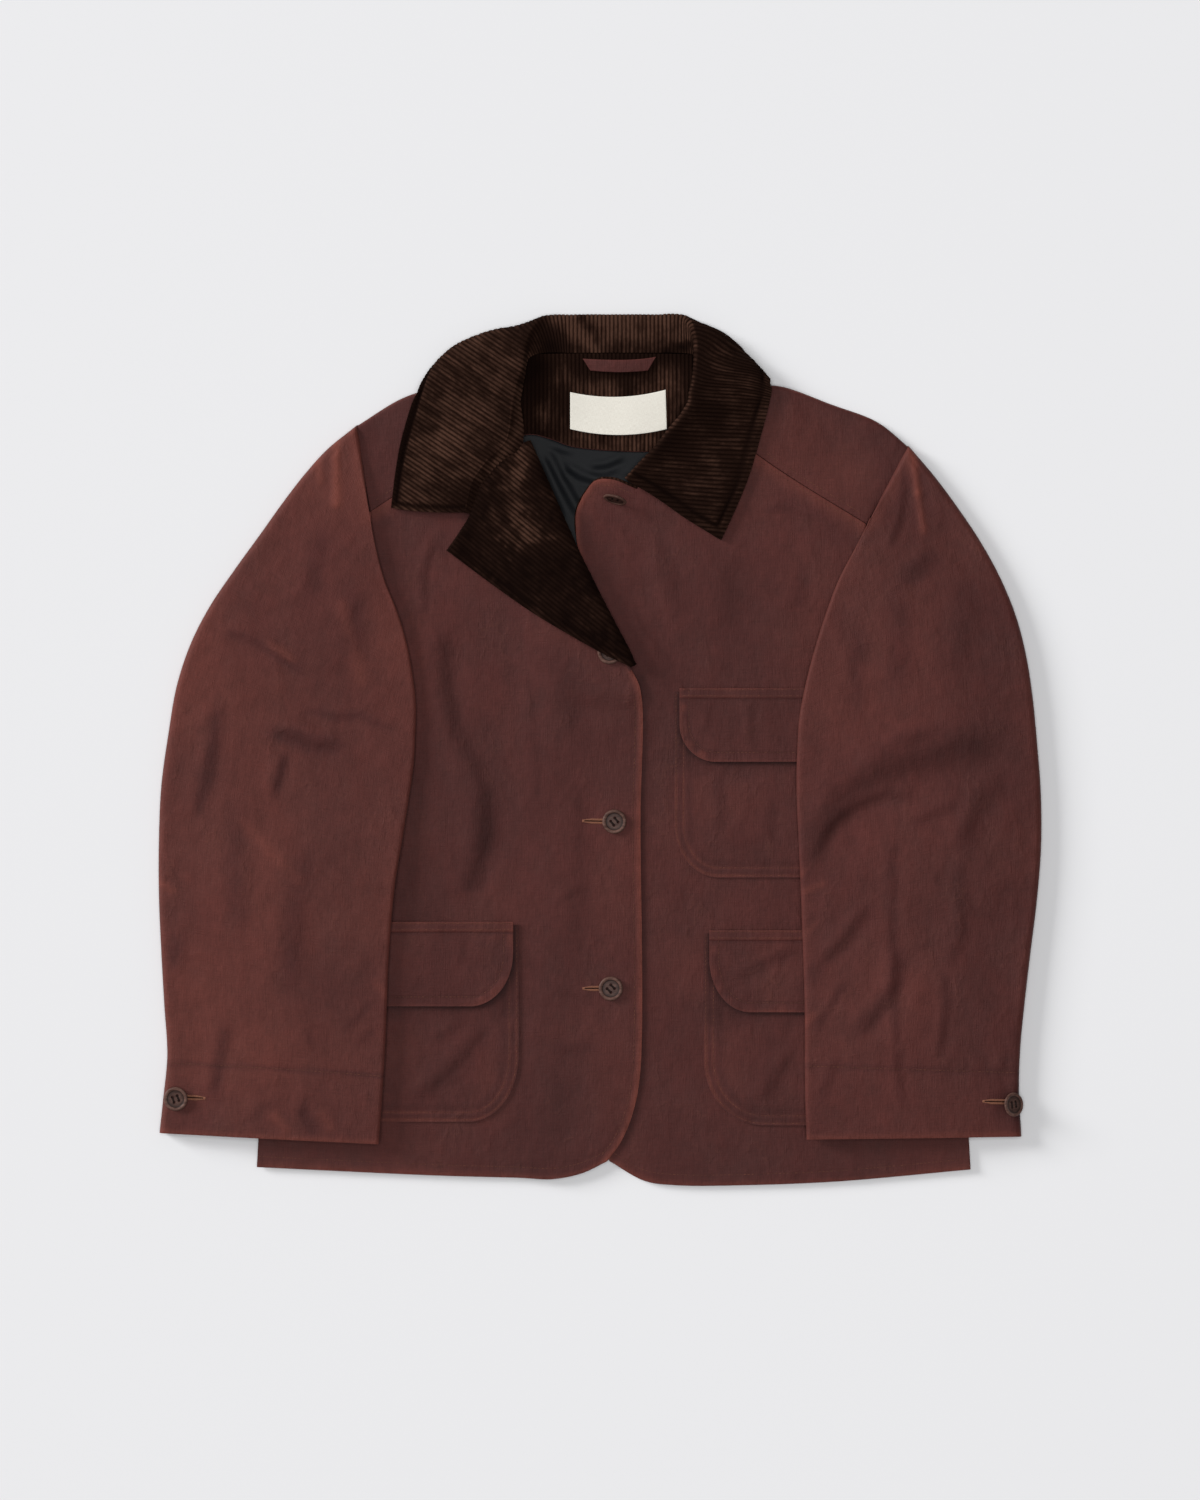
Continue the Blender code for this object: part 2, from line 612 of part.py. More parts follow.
collar = [collar_section(k / (2 * len(COLLAR) - 2)) for k in range(2 * len(COLLAR) - 1)]
loft("collar", collar, COLLAR_WALL, 0.0, "cord")


# ---------------------------------------------------------------- sleeves
# Where each sleeve lies on the body: y, x of the body's edge under it.
SUPPORT_LEFT = [(-352, 319), (75, 296), (95, 272), (125, 246), (160, 232), (190, 228), (210, 218),
                (252, 210), (300, 206)]
SUPPORT_RIGHT = [(-352, -296), (78, -270), (92, -238), (120, -207), (165, -196), (195, -196),
                 (230, -186), (269, -177), (300, -172)]
# Stations from the armhole seam to the cuff: outer x, y, inner x, y.
SLEEVE_LEFT = [
    (261.5, 252, 224.5, 190), (281, 229, 212, 166), (301, 202, 200, 143), (319, 175, 190, 117),
    (335, 146, 181, 89), (348, 115, 173, 59), (356.5, 84, 167, 29), (362.5, 48, 165, -1),
    (366.5, 8, 164.5, -33), (369.8, -36, 166, -73), (370, -82, 168, -116), (366.5, -126, 169.5, -158),
    (361, -171, 171, -200), (356, -214, 171.5, -240), (352.5, -251, 171.5, -272),
    (351.5, -286, 172, -299), (353.5, -324, 173, -326),
]
SLEEVE_RIGHT = [
    (-207, 270, -192.5, 195), (-229, 252, -187, 168), (-248, 231, -180, 142), (-265, 209, -170, 117),
    (-285, 181, -162, 91), (-306, 152, -157, 65), (-327, 121, -154, 38), (-343, 90, -154.5, 12),
    (-355, 54, -156, -14), (-362, 14, -160, -42), (-368, -30, -165, -74), (-370, -75, -171, -110),
    (-370, -122, -175, -150), (-368, -170, -177.5, -196), (-365.5, -214, -179, -238),
    (-363, -256, -181, -276), (-366.5, -293, -183, -305), (-369.5, -321, -185, -330),
]
SLEEVE_RIGHT_FOLDS = [
    (-304, 108, -250, 62, 9, -1.9),
    (-300, 130, -238, 92, 10, 0.9),
    (-262, 12, -277, -40, 10, -1.8),
    (-215, 60, -190, -20, 12, 0.9),
    (-340, 40, -352, -60, 11, -1.2),
    (-240, 160, -222, 110, 12, 0.8),
    (-300, -100, -340, -190, 12, 0.8),
    (-210, -120, -240, -230, 13, -0.9),
    (-350, -215, -300, -250, 9, -1.0),
    (-255, -278, -262, -322, 8, -0.8),
    (-300, -280, -294, -322, 8, 0.7),
]
SLEEVE_LEFT_FOLDS = [
    (262, 232, 270, 196, 9, -1.6),
    (176, -100, 352, 28, 10, -2.0),
    (186, -70, 330, 44, 12, 1.0),
    (176, -94, 243, -33, 8, -1.2),
    (172, -190, 214, -132, 9, -1.4),
    (186, -232, 203, -202, 8, -1.0),
    (240, -8, 258, -146, 11, 1.0),
    (304, -126, 286, -258, 10, -1.3),
    (280, -72, 280, -264, 12, 0.8),
    (230, 120, 290, 80, 13, 0.8),
    (330, -160, 338, -240, 9, -0.8),
]
SLEEVE_STATIONS = 19
EDGE_STEPS = 3       # columns round each folded edge
TOP_STEPS = 12       # columns across the top


def at_y(table, y):
    """Value interpolated from (y, value) rows."""
    for (y0, v0), (y1, v1) in zip(table, table[1:]):
        if y <= y1:
            return v0 + (v1 - v0) * max(0.0, (y - y0) / (y1 - y0))
    return table[-1][1]


def sleeve_base(side, x, y):
    """Underside of a sleeve: on the front and its pockets, and beyond the body on the floor."""
    support = SUPPORT_LEFT if side > 0 else SUPPORT_RIGHT
    pocket = ease(176, 76, y) if side > 0 else ease(-18, -122, y)
    level = front_base(x, y) + WAX + LIE + POCKET_STACK * pocket
    return level * ease(FLOOR_RAMP, 0, side * (x - at_y(support, y)))


def ramp_places(side, low, high):
    """Places 0..1 across the under sleeve, closest together where it comes off the body."""
    support = SUPPORT_LEFT if side > 0 else SUPPORT_RIGHT
    outside = []
    for i in range(61):
        p = low.lerp(high, i / 60)
        outside.append(side * (p.x - at_y(support, p.y)))
    foot = max([i for i, d in enumerate(outside) if d > FLOOR_RAMP], default=0) / 60
    edge = max([i for i, d in enumerate(outside) if d > 0], default=0) / 60
    foot = min(max(foot, 0.04), 0.8)
    edge = min(max(edge, foot + 0.1), 0.92)
    return [0.0, foot, foot + (edge - foot) / 3, foot + (edge - foot) * 2 / 3, edge, (edge + 1) / 2, 1.0]


def make_sleeve(side, name, stations, folds):
    radius = SLEEVE_HEIGHT / 2
    upper = []
    under = []
    for k in range(SLEEVE_STATIONS):
        s = k / (SLEEVE_STATIONS - 1)
        outer = spline([row[:2] for row in stations], s)
        inner = spline([row[2:] for row in stations], s)
        across = (inner - outer).normalized()

        def edge(corner, inward, ends):
            """The folded edge at one corner, from the turned-under end up to the top."""
            middle = corner + inward * radius
            foot = middle + inward * UNDER_TURN
            cells = [(foot.x, foot.y, sleeve_base(side, foot.x, foot.y))]
            for step in range(ends + 1):
                angle = math.pi * step / ends
                p = middle - inward * radius * math.sin(angle)
                z = sleeve_base(side, middle.x, middle.y) + radius * (1 - math.cos(angle))
                cells.append((p.x, p.y, z))
            return cells

        first = edge(outer, across, EDGE_STEPS)
        second = edge(inner, -across, EDGE_STEPS)
        start = outer + across * radius
        end = inner - across * radius
        top = []
        for i in range(1, TOP_STEPS):
            t = i / TOP_STEPS
            p = start.lerp(end, t)
            calm = ease(0.0, 0.12, t) * ease(1.0, 0.88, t) * ease(0.0, 0.08, s)
            bend = max(-2.3, fold_height(folds, p.x, p.y)) * calm
            top.append((p.x, p.y, sleeve_base(side, p.x, p.y) + SLEEVE_HEIGHT + bend))
        upper.append(first + top + list(reversed(second)))

        low = start + across * (UNDER_TURN + 3 * LIE)
        high = end - across * (UNDER_TURN + 3 * LIE)
        strip = [low.lerp(high, t) for t in ramp_places(side, low, high)]
        under.append([(p.x, p.y, sleeve_base(side, p.x, p.y)) for p in strip])
    if side < 0:
        upper = turned_rows(upper)
        under = turned_rows(under)
    loft(name + "_top", upper, SLEEVE_WALL, -1.0, "wax")
    loft(name + "_under", under, SLEEVE_WALL, 1.0, "wax")


make_sleeve(1, "sleeve_left", SLEEVE_LEFT, SLEEVE_LEFT_FOLDS)
make_sleeve(-1, "sleeve_right", SLEEVE_RIGHT, SLEEVE_RIGHT_FOLDS)


# ---------------------------------------------------------------- pockets
PATCH_WALL = 1.4
FLAP_WALL = 1.6
BAND = 0.4           # the flap's sewn top stands up this much
BAND_DEPTH = 8.0
CORNER_STEPS = 5
POCKETS = {   # name: left x, right x, patch bottom, flap top, flap bottom, patch corner, flap corner
    "pocket_right": (-240, -68, -312, -144, -215, (42, 55), (36, 45)),
    "pocket_left": (87, 259, -315, -151, -220, (50, 55), (34, 45)),
    "pocket_chest": (62, 205, -107, 52, -10, (37, 45), (30, 32)),
}


def rounded_rows(left, right, bottom, top, corner, plain, columns):
    """Plan rows of a panel with two rounded lower corners, from its top down."""
    wide, high = corner
    levels = [(top + (bottom + high - top) * k / plain, 0.0) for k in range(plain)]
    for k in range(CORNER_STEPS + 1):
        angle = math.pi / 2 * k / CORNER_STEPS
        levels.append((bottom + high * (1 - math.sin(angle)), wide * (1 - math.cos(angle))))
    rows = []
    for y, inset in levels:
        low, far = left + inset, right - inset
        rows.append([Vector((low + (far - low) * i / columns, y)) for i in range(columns + 1)])
    return rows


for name, (left, right, bottom, flap_top, flap_bottom, corner, flap_corner) in POCKETS.items():
    base = front_base if left > 0 else lambda x, y: lapped_base(x, y, roll_distance(x, y))
    rows = []
    for row in rounded_rows(left, right, bottom, flap_top - 3, corner, 3, 6):
        rows.append([(p.x, p.y, base(p.x, p.y) + WAX + SEAM) for p in row])
    loft(name, turned_rows(rows), PATCH_WALL, 1.0, "wax")
    rows = []
    for row in rounded_rows(left + 2, right - 2, flap_bottom, flap_top - BAND_DEPTH, flap_corner, 1, 6):
        rows.append([(p.x, p.y, base(p.x, p.y) + WAX + PATCH_WALL + 2 * SEAM) for p in row])
    band = []
    for y, up in ((flap_top, BAND), (flap_top - BAND_DEPTH + 1, BAND)):
        band.append([(p[0], y, base(p[0], y) + WAX + PATCH_WALL + 2 * SEAM + up) for p in rows[0]])
    loft(name + "_flap", turned_rows(band + rows), FLAP_WALL, 1.0, "wax")


# ---------------------------------------------------------------- buttons
BUTTON_PROFILE = [   # radius, height
    (0.0, 0.0), (7.6, 0.0), (9.6, 0.8), (BUTTON_R, 1.6), (9.7, 2.5), (8.9, BUTTON_T), (7.7, 2.4),
    (6.9, 1.9), (0.0, 1.9),
]
BUTTON_SIDES = 14
BUTTON_RIDE = 0.35   # a button's back stands this far off the cloth


def make_button(name, x, y, z, tilt_x=0.0, tilt_y=0.0, turn_z=0.0):
    mesh = bpy.data.meshes.new(name)
    mesh.from_pydata([(r * MM, 0.0, h * MM) for r, h in BUTTON_PROFILE],
                     [(i, i + 1) for i in range(len(BUTTON_PROFILE) - 1)], [])
    obj = add_object(name, mesh, "button")
    turn = obj.modifiers.new("turned", "SCREW")
    turn.axis = "Z"
    turn.steps = BUTTON_SIDES
    turn.render_steps = BUTTON_SIDES
    turn.use_merge_vertices = True
    turn.merge_threshold = 1e-5
    turn.use_normal_calculate = True
    holes = bpy.data.meshes.new(name + "_holes")
    bm = bmesh.new()
    for sx, sy in ((1, 1), (-1, 1), (-1, -1), (1, -1)):
        tube = bmesh.ops.create_cone(bm, cap_ends=True, segments=6, radius1=HOLE_R * MM,
                                     radius2=HOLE_R * MM, depth=4 * BUTTON_T * MM)
        bmesh.ops.translate(bm, verts=tube["verts"], vec=(sx * HOLE_OFF * MM, sy * HOLE_OFF * MM, 0.0))
    bm.to_mesh(holes)
    bm.free()
    cutter = bpy.data.objects.new(name + "_holes", holes)
    cutters.objects.link(cutter)
    cutter.hide_render = True
    cutter.display_type = "WIRE"
    cut = obj.modifiers.new("holes", "BOOLEAN")
    cut.operation = "DIFFERENCE"
    cut.solver = "EXACT"
    cut.object = cutter
    for part in (obj, cutter):
        part.location = (x * MM, y * MM, z * MM)
        part.rotation_euler = (math.radians(tilt_x), math.radians(tilt_y), math.radians(turn_z))


def on_lap(x, y):
    return lapped_base(x, y, roll_distance(x, y)) + WAX + BUTTON_RIDE


def on_sleeve(side, x, y):
    return sleeve_base(side, x, y) + SLEEVE_HEIGHT + BUTTON_RIDE


make_button("button_top", 13, 211, front_base(13, 211) + WAX + 9.6, tilt_x=76, turn_z=-16)
make_button("button_second", 8, 82, on_lap(8, 82))
make_button("button_third", 12, -60, on_lap(12, -60))
make_button("button_fourth", 9, -200, on_lap(9, -200))
make_button("button_cuff_right", -355, -292, on_sleeve(-1, -350, -292) + 1.4, tilt_y=-8)
make_button("button_cuff_left", 345.5, -297, on_sleeve(1, 345, -297) + 4.0, tilt_y=40)
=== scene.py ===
import json
import math

import bmesh
import bpy
import numpy as np
from mathutils import Euler, Matrix, Vector
from mathutils.bvhtree import BVHTree

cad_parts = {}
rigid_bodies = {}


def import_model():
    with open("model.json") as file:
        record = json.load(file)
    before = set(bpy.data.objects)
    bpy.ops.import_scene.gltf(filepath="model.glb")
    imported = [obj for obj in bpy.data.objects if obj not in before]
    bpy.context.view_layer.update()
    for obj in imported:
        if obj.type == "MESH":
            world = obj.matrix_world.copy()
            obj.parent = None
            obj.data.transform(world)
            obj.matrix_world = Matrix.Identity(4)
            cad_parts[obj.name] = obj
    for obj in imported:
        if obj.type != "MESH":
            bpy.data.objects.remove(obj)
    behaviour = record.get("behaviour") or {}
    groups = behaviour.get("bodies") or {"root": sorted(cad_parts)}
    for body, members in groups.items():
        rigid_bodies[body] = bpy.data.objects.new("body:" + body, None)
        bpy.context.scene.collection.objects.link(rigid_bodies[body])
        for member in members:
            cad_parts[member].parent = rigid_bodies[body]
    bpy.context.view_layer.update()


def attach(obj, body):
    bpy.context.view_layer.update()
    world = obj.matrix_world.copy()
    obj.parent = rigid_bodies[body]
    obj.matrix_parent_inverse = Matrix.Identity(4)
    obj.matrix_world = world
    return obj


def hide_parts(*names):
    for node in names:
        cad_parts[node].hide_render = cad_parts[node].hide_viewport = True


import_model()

for node in bpy.data.objects:
    node.select_set(False)

# ------------------------------------------------------------------ Back
# One panel of waxed cotton, flat on the table. It turns over at both shoulders and runs on to
# the forward shoulder seams, and its neck is carried up by the collar leaf that lies under it.
# Lengths are in millimetres, +X is the wearer's left and +Y runs up to the collar.
MM = 0.001
WAX = 1.6            # wall of the waxed cotton
SEAM = 0.3           # space between pieces that are sewn together
LIE = 0.5            # space between pieces that lie on each other
HEM_RIGHT_X, HEM_LEFT_X, HEM_SIDE_Y = -288.0, 311.0, -350.0
UNDERARM_RIGHT, UNDERARM_LEFT = (-263.0, 78.0), (286.0, 80.0)
NECK_Y = 331.0
GAP_SHOULDER = 3.6   # between the layers at the shoulder
COLLAR_LIFT = 3.6
ARMHOLE_RIGHT = [UNDERARM_RIGHT, (-232, 92), (-202, 122), (-190, 160), (-192.4, 200)]
ARMHOLE_LEFT = [UNDERARM_LEFT, (256, 95), (231, 125), (222, 158), (223.2, 189.6)]
SEAM_RIGHT = [(-192.4, 200), (-130, 241), (-72, 284)]
SEAM_LEFT = [(223.2, 189.6), (150, 235), (82, 284)]
SHOULDER_RIGHT = [(-206, 270.6), (-168, 294), (-146, 301.5), (-110, 307), (-64, 314)]
SHOULDER_LEFT = [(260.2, 253), (233, 275), (194, 290), (151, 305), (124, 306), (86, 314)]


def ease(low, high, value):
    """0 at low, 1 at high, smooth between; low may be the larger."""
    t = np.clip((value - low) / (high - low), 0.0, 1.0)
    return t * t * (3.0 - 2.0 * t)


def spline(points, t):
    """Points at t, 0..1, of a centripetal Catmull-Rom curve."""
    pts = np.asarray(points, float)
    last = len(pts) - 1
    place = np.clip(np.asarray(t, float), 0.0, 1.0) * last
    i = np.minimum(place.astype(int), last - 1)
    f = (place - i).reshape(i.shape + (1,) * (pts.ndim - 1))
    a, b = pts[i], pts[i + 1]
    inner = (i > 0).reshape(f.shape)
    ahead = (i + 2 <= last).reshape(f.shape)
    before = np.where(inner, pts[np.maximum(i - 1, 0)], a * 2 - b)
    after = np.where(ahead, pts[np.minimum(i + 2, last)], b * 2 - a)
    d0, d1, d2 = (np.maximum(np.sqrt(np.linalg.norm(step, axis=-1, keepdims=True)), 1e-6)
                  for step in (a - before, b - a, after - b))
    leave = ((a - before) / d0 - (b - before) / (d0 + d1) + (b - a) / d1) * d1
    arrive = ((b - a) / d1 - (after - a) / (d1 + d2) + (after - b) / d2) * d1
    g = 1.0 - f
    return a * g * g * (1 + 2 * f) + leave * f * g * g + b * f * f * (3 - 2 * f) - arrive * f * f * g


def unit(vectors):
    """Vectors made 1 long."""
    return vectors / np.maximum(np.linalg.norm(vectors, axis=-1, keepdims=True), 1e-9)


def lengths(path):
    """Length along a path up to each of its points."""
    return np.concatenate([[0.0], np.cumsum(np.linalg.norm(np.diff(path, axis=0), axis=1))])


def line(points, count, smooth=True):
    """count points, even by length, along the curve or polyline."""
    if smooth:
        track = spline(points, np.linspace(0, 1, 32 * (len(points) - 1) + 1))
    else:
        track = np.asarray(points, float)
    run = lengths(track)
    want = np.linspace(0, run[-1], count)
    return np.stack([np.interp(want, run, track[:, k]) for k in range(track.shape[1])], axis=1)


def joined(*lines):
    """Lines that follow each other, with each shared point once."""
    return np.vstack([lines[0]] + [part[1:] for part in lines[1:]])


def patch(bottom, top, left, right):
    """Coons patch between four plan curves; rows run from bottom to top."""
    v = np.linspace(0, 1, len(left))[:, None, None]
    u = np.linspace(0, 1, len(bottom))[None, :, None]
    corners = (bottom[0] * (1 - u) + bottom[-1] * u) * (1 - v) + (top[0] * (1 - u) + top[-1] * u) * v
    return bottom[None] * (1 - v) + top[None] * v + left[:, None] * (1 - u) + right[:, None] * u - corners


def raised(plan, height):
    """Plan points given their heights."""
    return np.concatenate([plan, height[..., None]], axis=-1)


def waver(x, y, size, seed):
    """Smooth random undulation, -1..1, with bumps about size across."""
    lattice = np.random.default_rng(seed).uniform(-1, 1, (64, 64))
    gx, gy = x / size + 31.7, y / size + 17.3
    i, j = np.floor(gx).astype(int), np.floor(gy).astype(int)
    fx, fy = gx - i, gy - j
    fx, fy = fx * fx * (3 - 2 * fx), fy * fy * (3 - 2 * fy)
    low = lattice[i % 64, j % 64] * (1 - fx) + lattice[(i + 1) % 64, j % 64] * fx
    high = lattice[i % 64, (j + 1) % 64] * (1 - fx) + lattice[(i + 1) % 64, (j + 1) % 64] * fx
    return low * (1 - fy) + high * fy


def rumple(x, y, seed):
    """The slight hollows and swells of cloth that lies without being pressed."""
    turned = 0.8 * x + 0.6 * y
    across = 0.8 * y - 0.6 * x
    return (0.5 * waver(x, y, 46, seed) + 0.32 * waver(turned, across * 0.45, 21, seed + 1)
            + 0.14 * waver(across, turned * 0.6, 9, seed + 2))


def lift(x, y):
    """Height of the back's underside, which the collar leaf carries at the neck."""
    return COLLAR_LIFT * ease(210, 284, y) * ease(-196, -142, x) * ease(200, 144, x)


class Number:
    """A number in a material, so that its sums read as Python."""

    def __init__(self, finish, socket):
        self.finish = finish
        self.socket = socket

    def math(self, operation, *values):
        return self.finish.number("ShaderNodeMath", {"operation": operation}, dict(enumerate(values)))

    def __add__(self, other):
        return self.math("ADD", self, other)

    def __sub__(self, other):
        return self.math("SUBTRACT", self, other)

    def __rsub__(self, other):
        return self.math("SUBTRACT", other, self)

    def __mul__(self, other):
        return self.math("MULTIPLY", self, other)

    def __pow__(self, other):
        return self.math("POWER", self, other)

    def __abs__(self):
        return self.math("ABSOLUTE", self)

    __radd__ = __add__
    __rmul__ = __mul__

    def clipped(self):
        return self.math("MINIMUM", self.math("MAXIMUM", self, 0.0), 1.0)


class Finish:
    """A material: its Principled shader and the nodes that feed it."""

    def __init__(self, name, roughness, specular=0.5, **constants):
        self.material = bpy.data.materials.new(name)
        self.material.use_nodes = True
        self.tree = self.material.node_tree
        self.shader = self.tree.nodes["Principled BSDF"]
        self.shader.inputs["Roughness"].default_value = roughness
        self.shader.inputs["Specular IOR Level"].default_value = specular
        for key, value in constants.items():
            self.shader.inputs[key.replace("_", " ").title()].default_value = value

    def node(self, kind, settings=None, inputs=None):
        """A node of that type with its settings made first, then its values or links."""
        made = self.tree.nodes.new(kind)
        for key, value in (settings or {}).items():
            setattr(made, key, value)
        for key, value in (inputs or {}).items():
            if isinstance(value, Number):
                value = value.socket
            if isinstance(value, bpy.types.NodeSocket):
                self.tree.links.new(value, made.inputs[key])
            else:
                made.inputs[key].default_value = value
        return made

    def number(self, kind, settings=None, inputs=None, output=0):
        return Number(self, self.node(kind, settings, inputs).outputs[output])

    def body(self):
        """Place on the jacket, in metres."""
        return self.node("ShaderNodeTexCoord").outputs["Object"]

    def cut(self):
        """Place on the piece as it was cut, in metres."""
        return self.node("ShaderNodeUVMap", {"uv_map": "cut"}).outputs[0]

    def painted(self, name):
        """A number that the piece's points carry."""
        return self.number("ShaderNodeAttribute", {"attribute_name": name}, None, "Fac")

    def noise(self, vector, scale, detail=2.0, roughness=0.5):
        """Noise 0..1 at a vector scaled by three numbers."""
        stretched = self.node("ShaderNodeVectorMath", {"operation": "MULTIPLY"}, {0: vector, 1: scale})
        return self.number("ShaderNodeTexNoise", None,
                           {"Vector": stretched.outputs[0], "Scale": 1.0, "Detail": detail,
                            "Roughness": roughness})

    def mix(self, factor, a, b, blend="MIX"):
        """Colour between a and b."""
        made = self.node("ShaderNodeMix", {"data_type": "RGBA", "blend_type": blend})
        for key, value in (("Factor_Float", factor), ("A_Color", a), ("B_Color", b)):
            socket = next(s for s in made.inputs if s.identifier == key)
            value = value.socket if isinstance(value, Number) else value
            if isinstance(value, bpy.types.NodeSocket):
                self.tree.links.new(value, socket)
            elif isinstance(value, tuple):
                socket.default_value = (*value, 1.0)
            else:
                socket.default_value = value
        return next(s for s in made.outputs if s.identifier == "Result_Color")

    def feed(self, name, value):
        socket = value.socket if isinstance(value, Number) else value
        self.tree.links.new(socket, self.shader.inputs[name])

    def bump(self, height, strength=1.0):
        """Relief from a height in metres."""
        made = self.node("ShaderNodeBump", None, {"Height": height, "Strength": strength, "Distance": 1.0})
        self.tree.links.new(made.outputs[0], self.shader.inputs["Normal"])


def waxed_cotton():
    """Oxblood cotton: close weave under dry wax, rubbed paler and redder on ridges and edges; a negative
    tone paints shade on it.
    """
    wax = Finish("waxed_cotton", 0.6, 0.13, sheen_weight=0.02, sheen_roughness=0.5)
    cut, body, tone = wax.cut(), wax.body(), wax.painted("tone")
    bloom = wax.noise(body, (6.5, 4.5, 6.5), 3.0, 0.55)
    cloud = wax.noise(body, (27.0, 18.0, 27.0), 4.0, 0.6)
    warp = wax.noise(cut, (1250.0, 70.0, 1.0), 2.0)
    weft = wax.noise(cut, (70.0, 1250.0, 1.0), 2.0)
    grain = wax.noise(body, (1900.0, 1900.0, 1900.0), 2.0)
    slub = warp + weft - 1.0
    dapple = wax.noise(body, (95.0, 62.0, 95.0), 3.0, 0.6)
    soft_vein = wax.noise(body, (14.0, 10.0, 14.0), 4.0, 0.5)
    hard_vein = wax.noise(body, (38.0, 27.0, 38.0), 4.0, 0.5)
    crushed = ((cloud - 0.46) * 6.0).clipped()
    ridge = (1.0 - abs(soft_vein - 0.5) * 22.0).clipped() * 0.5 \
        + (1.0 - abs(hard_vein - 0.5) * 24.0).clipped() * crushed * 0.5
    crack = (1.0 - abs(hard_vein - 0.5) * 80.0).clipped() * crushed
    color = wax.mix(((bloom - 0.5) * 2.6 + 0.5).clipped(), (0.053, 0.0130, 0.0113), (0.080, 0.0200, 0.0169))
    color = wax.mix(((cloud - 0.42) * 2.2).clipped(), color, (0.059, 0.0190, 0.0168))
    color = wax.mix(tone.clipped(), color, (0.155, 0.040, 0.028))
    # Painted shade: a negative tone darkens the cloth along folds, beside lapped edges and round flaps.
    color = wax.mix((tone * -1.0).clipped(), color, (0.028, 0.0060, 0.0052))
    color = wax.mix(crack * 0.07, color, (0.20, 0.070, 0.042))
    shade = 1.0 + slub * 0.36 + (grain - 0.5) * 0.5 + (dapple - 0.5) * 0.5
    tint = wax.node("ShaderNodeCombineColor", None, {0: shade, 1: shade, 2: shade})
    wax.feed("Base Color", wax.mix(1.0, color, tint.outputs[0], "MULTIPLY"))
    wax.feed("Roughness", 0.5 + bloom * 0.2)
    wax.bump(dapple * 0.0011 + slub * 0.0003 + grain * 0.00012 + ridge * 0.0004, 1.0)
    return wax.material


WAXED = waxed_cotton()


def mesh_object(name, points, faces, cut, tone, material):
    """An object from points in millimetres, with its cut map and tone."""
    mesh = bpy.data.meshes.new(name)
    mesh.from_pydata((np.asarray(points) * MM).tolist(), [], faces)
    layer = mesh.uv_layers.new(name="cut")
    corner = np.empty(len(mesh.loops), np.int32)
    mesh.loops.foreach_get("vertex_index", corner)
    layer.uv.foreach_set("vector", (np.asarray(cut) * MM)[corner].astype(np.float32).ravel())
    shade = mesh.attributes.new("tone", "FLOAT", "POINT")
    shade.data.foreach_set("value", np.asarray(tone, np.float32))
    mesh.materials.append(material)
    obj = bpy.data.objects.new(name, mesh)
    bpy.context.scene.collection.objects.link(obj)
    return obj


def quads_of(index):
    """Quads between the neighbours in a grid of point numbers."""
    return np.stack([index[:-1, :-1], index[:-1, 1:], index[1:, 1:], index[1:, :-1]], axis=-1)


def cells(grid):
    """Where a grid has cloth, and the quads between those points; nan is where it has none."""
    there = ~np.isnan(grid[..., 0])
    index = np.cumsum(there).reshape(there.shape) - 1
    whole = there[:-1, :-1] & there[:-1, 1:] & there[1:, 1:] & there[1:, :-1]
    return there, quads_of(index)[whole]


def apply_all(obj):
    """Applies the object's modifiers and smooths what isn't a corner."""
    bpy.ops.object.select_all(action="DESELECT")
    obj.select_set(True)
    bpy.context.view_layer.objects.active = obj
    for modifier in list(obj.modifiers):
        bpy.ops.object.modifier_apply(modifier=modifier.name)
    bpy.ops.object.shade_smooth_by_angle(angle=math.radians(50))
    obj.select_set(False)


def cloth(name, grids, wall, side, material):
    """A sheet through one or more grids, each (points, cut, tone), given its thickness on one side."""
    points, faces, cuts, tones = [], [], [], []
    base = 0
    for grid, cut, tone in grids:
        there, quads = cells(grid)
        points.append(grid[there])
        cuts.append(cut[there])
        tones.append(tone[there])
        faces += (quads + base).tolist()
        base += int(there.sum())
    obj = mesh_object(name, np.vstack(points), faces, np.vstack(cuts), np.concatenate(tones), material)
    bm = bmesh.new()
    bm.from_mesh(obj.data)
    bmesh.ops.remove_doubles(bm, verts=bm.verts, dist=2e-5)
    bm.to_mesh(obj.data)
    bm.free()
    solid = obj.modifiers.new("wall", "SOLIDIFY")
    solid.thickness = wall * MM
    solid.offset = side
    edge = obj.modifiers.new("edge", "BEVEL")
    edge.width = 0.3 * wall * MM
    edge.segments = 2
    edge.limit_method = "ANGLE"
    edge.angle_limit = math.radians(60)
    apply_all(obj)
    return obj


def rest_flat(obj):
    """Keeps every point of a piece on or above the table."""
    for point in obj.data.vertices:
        point.co.z = max(point.co.z, 0.0)


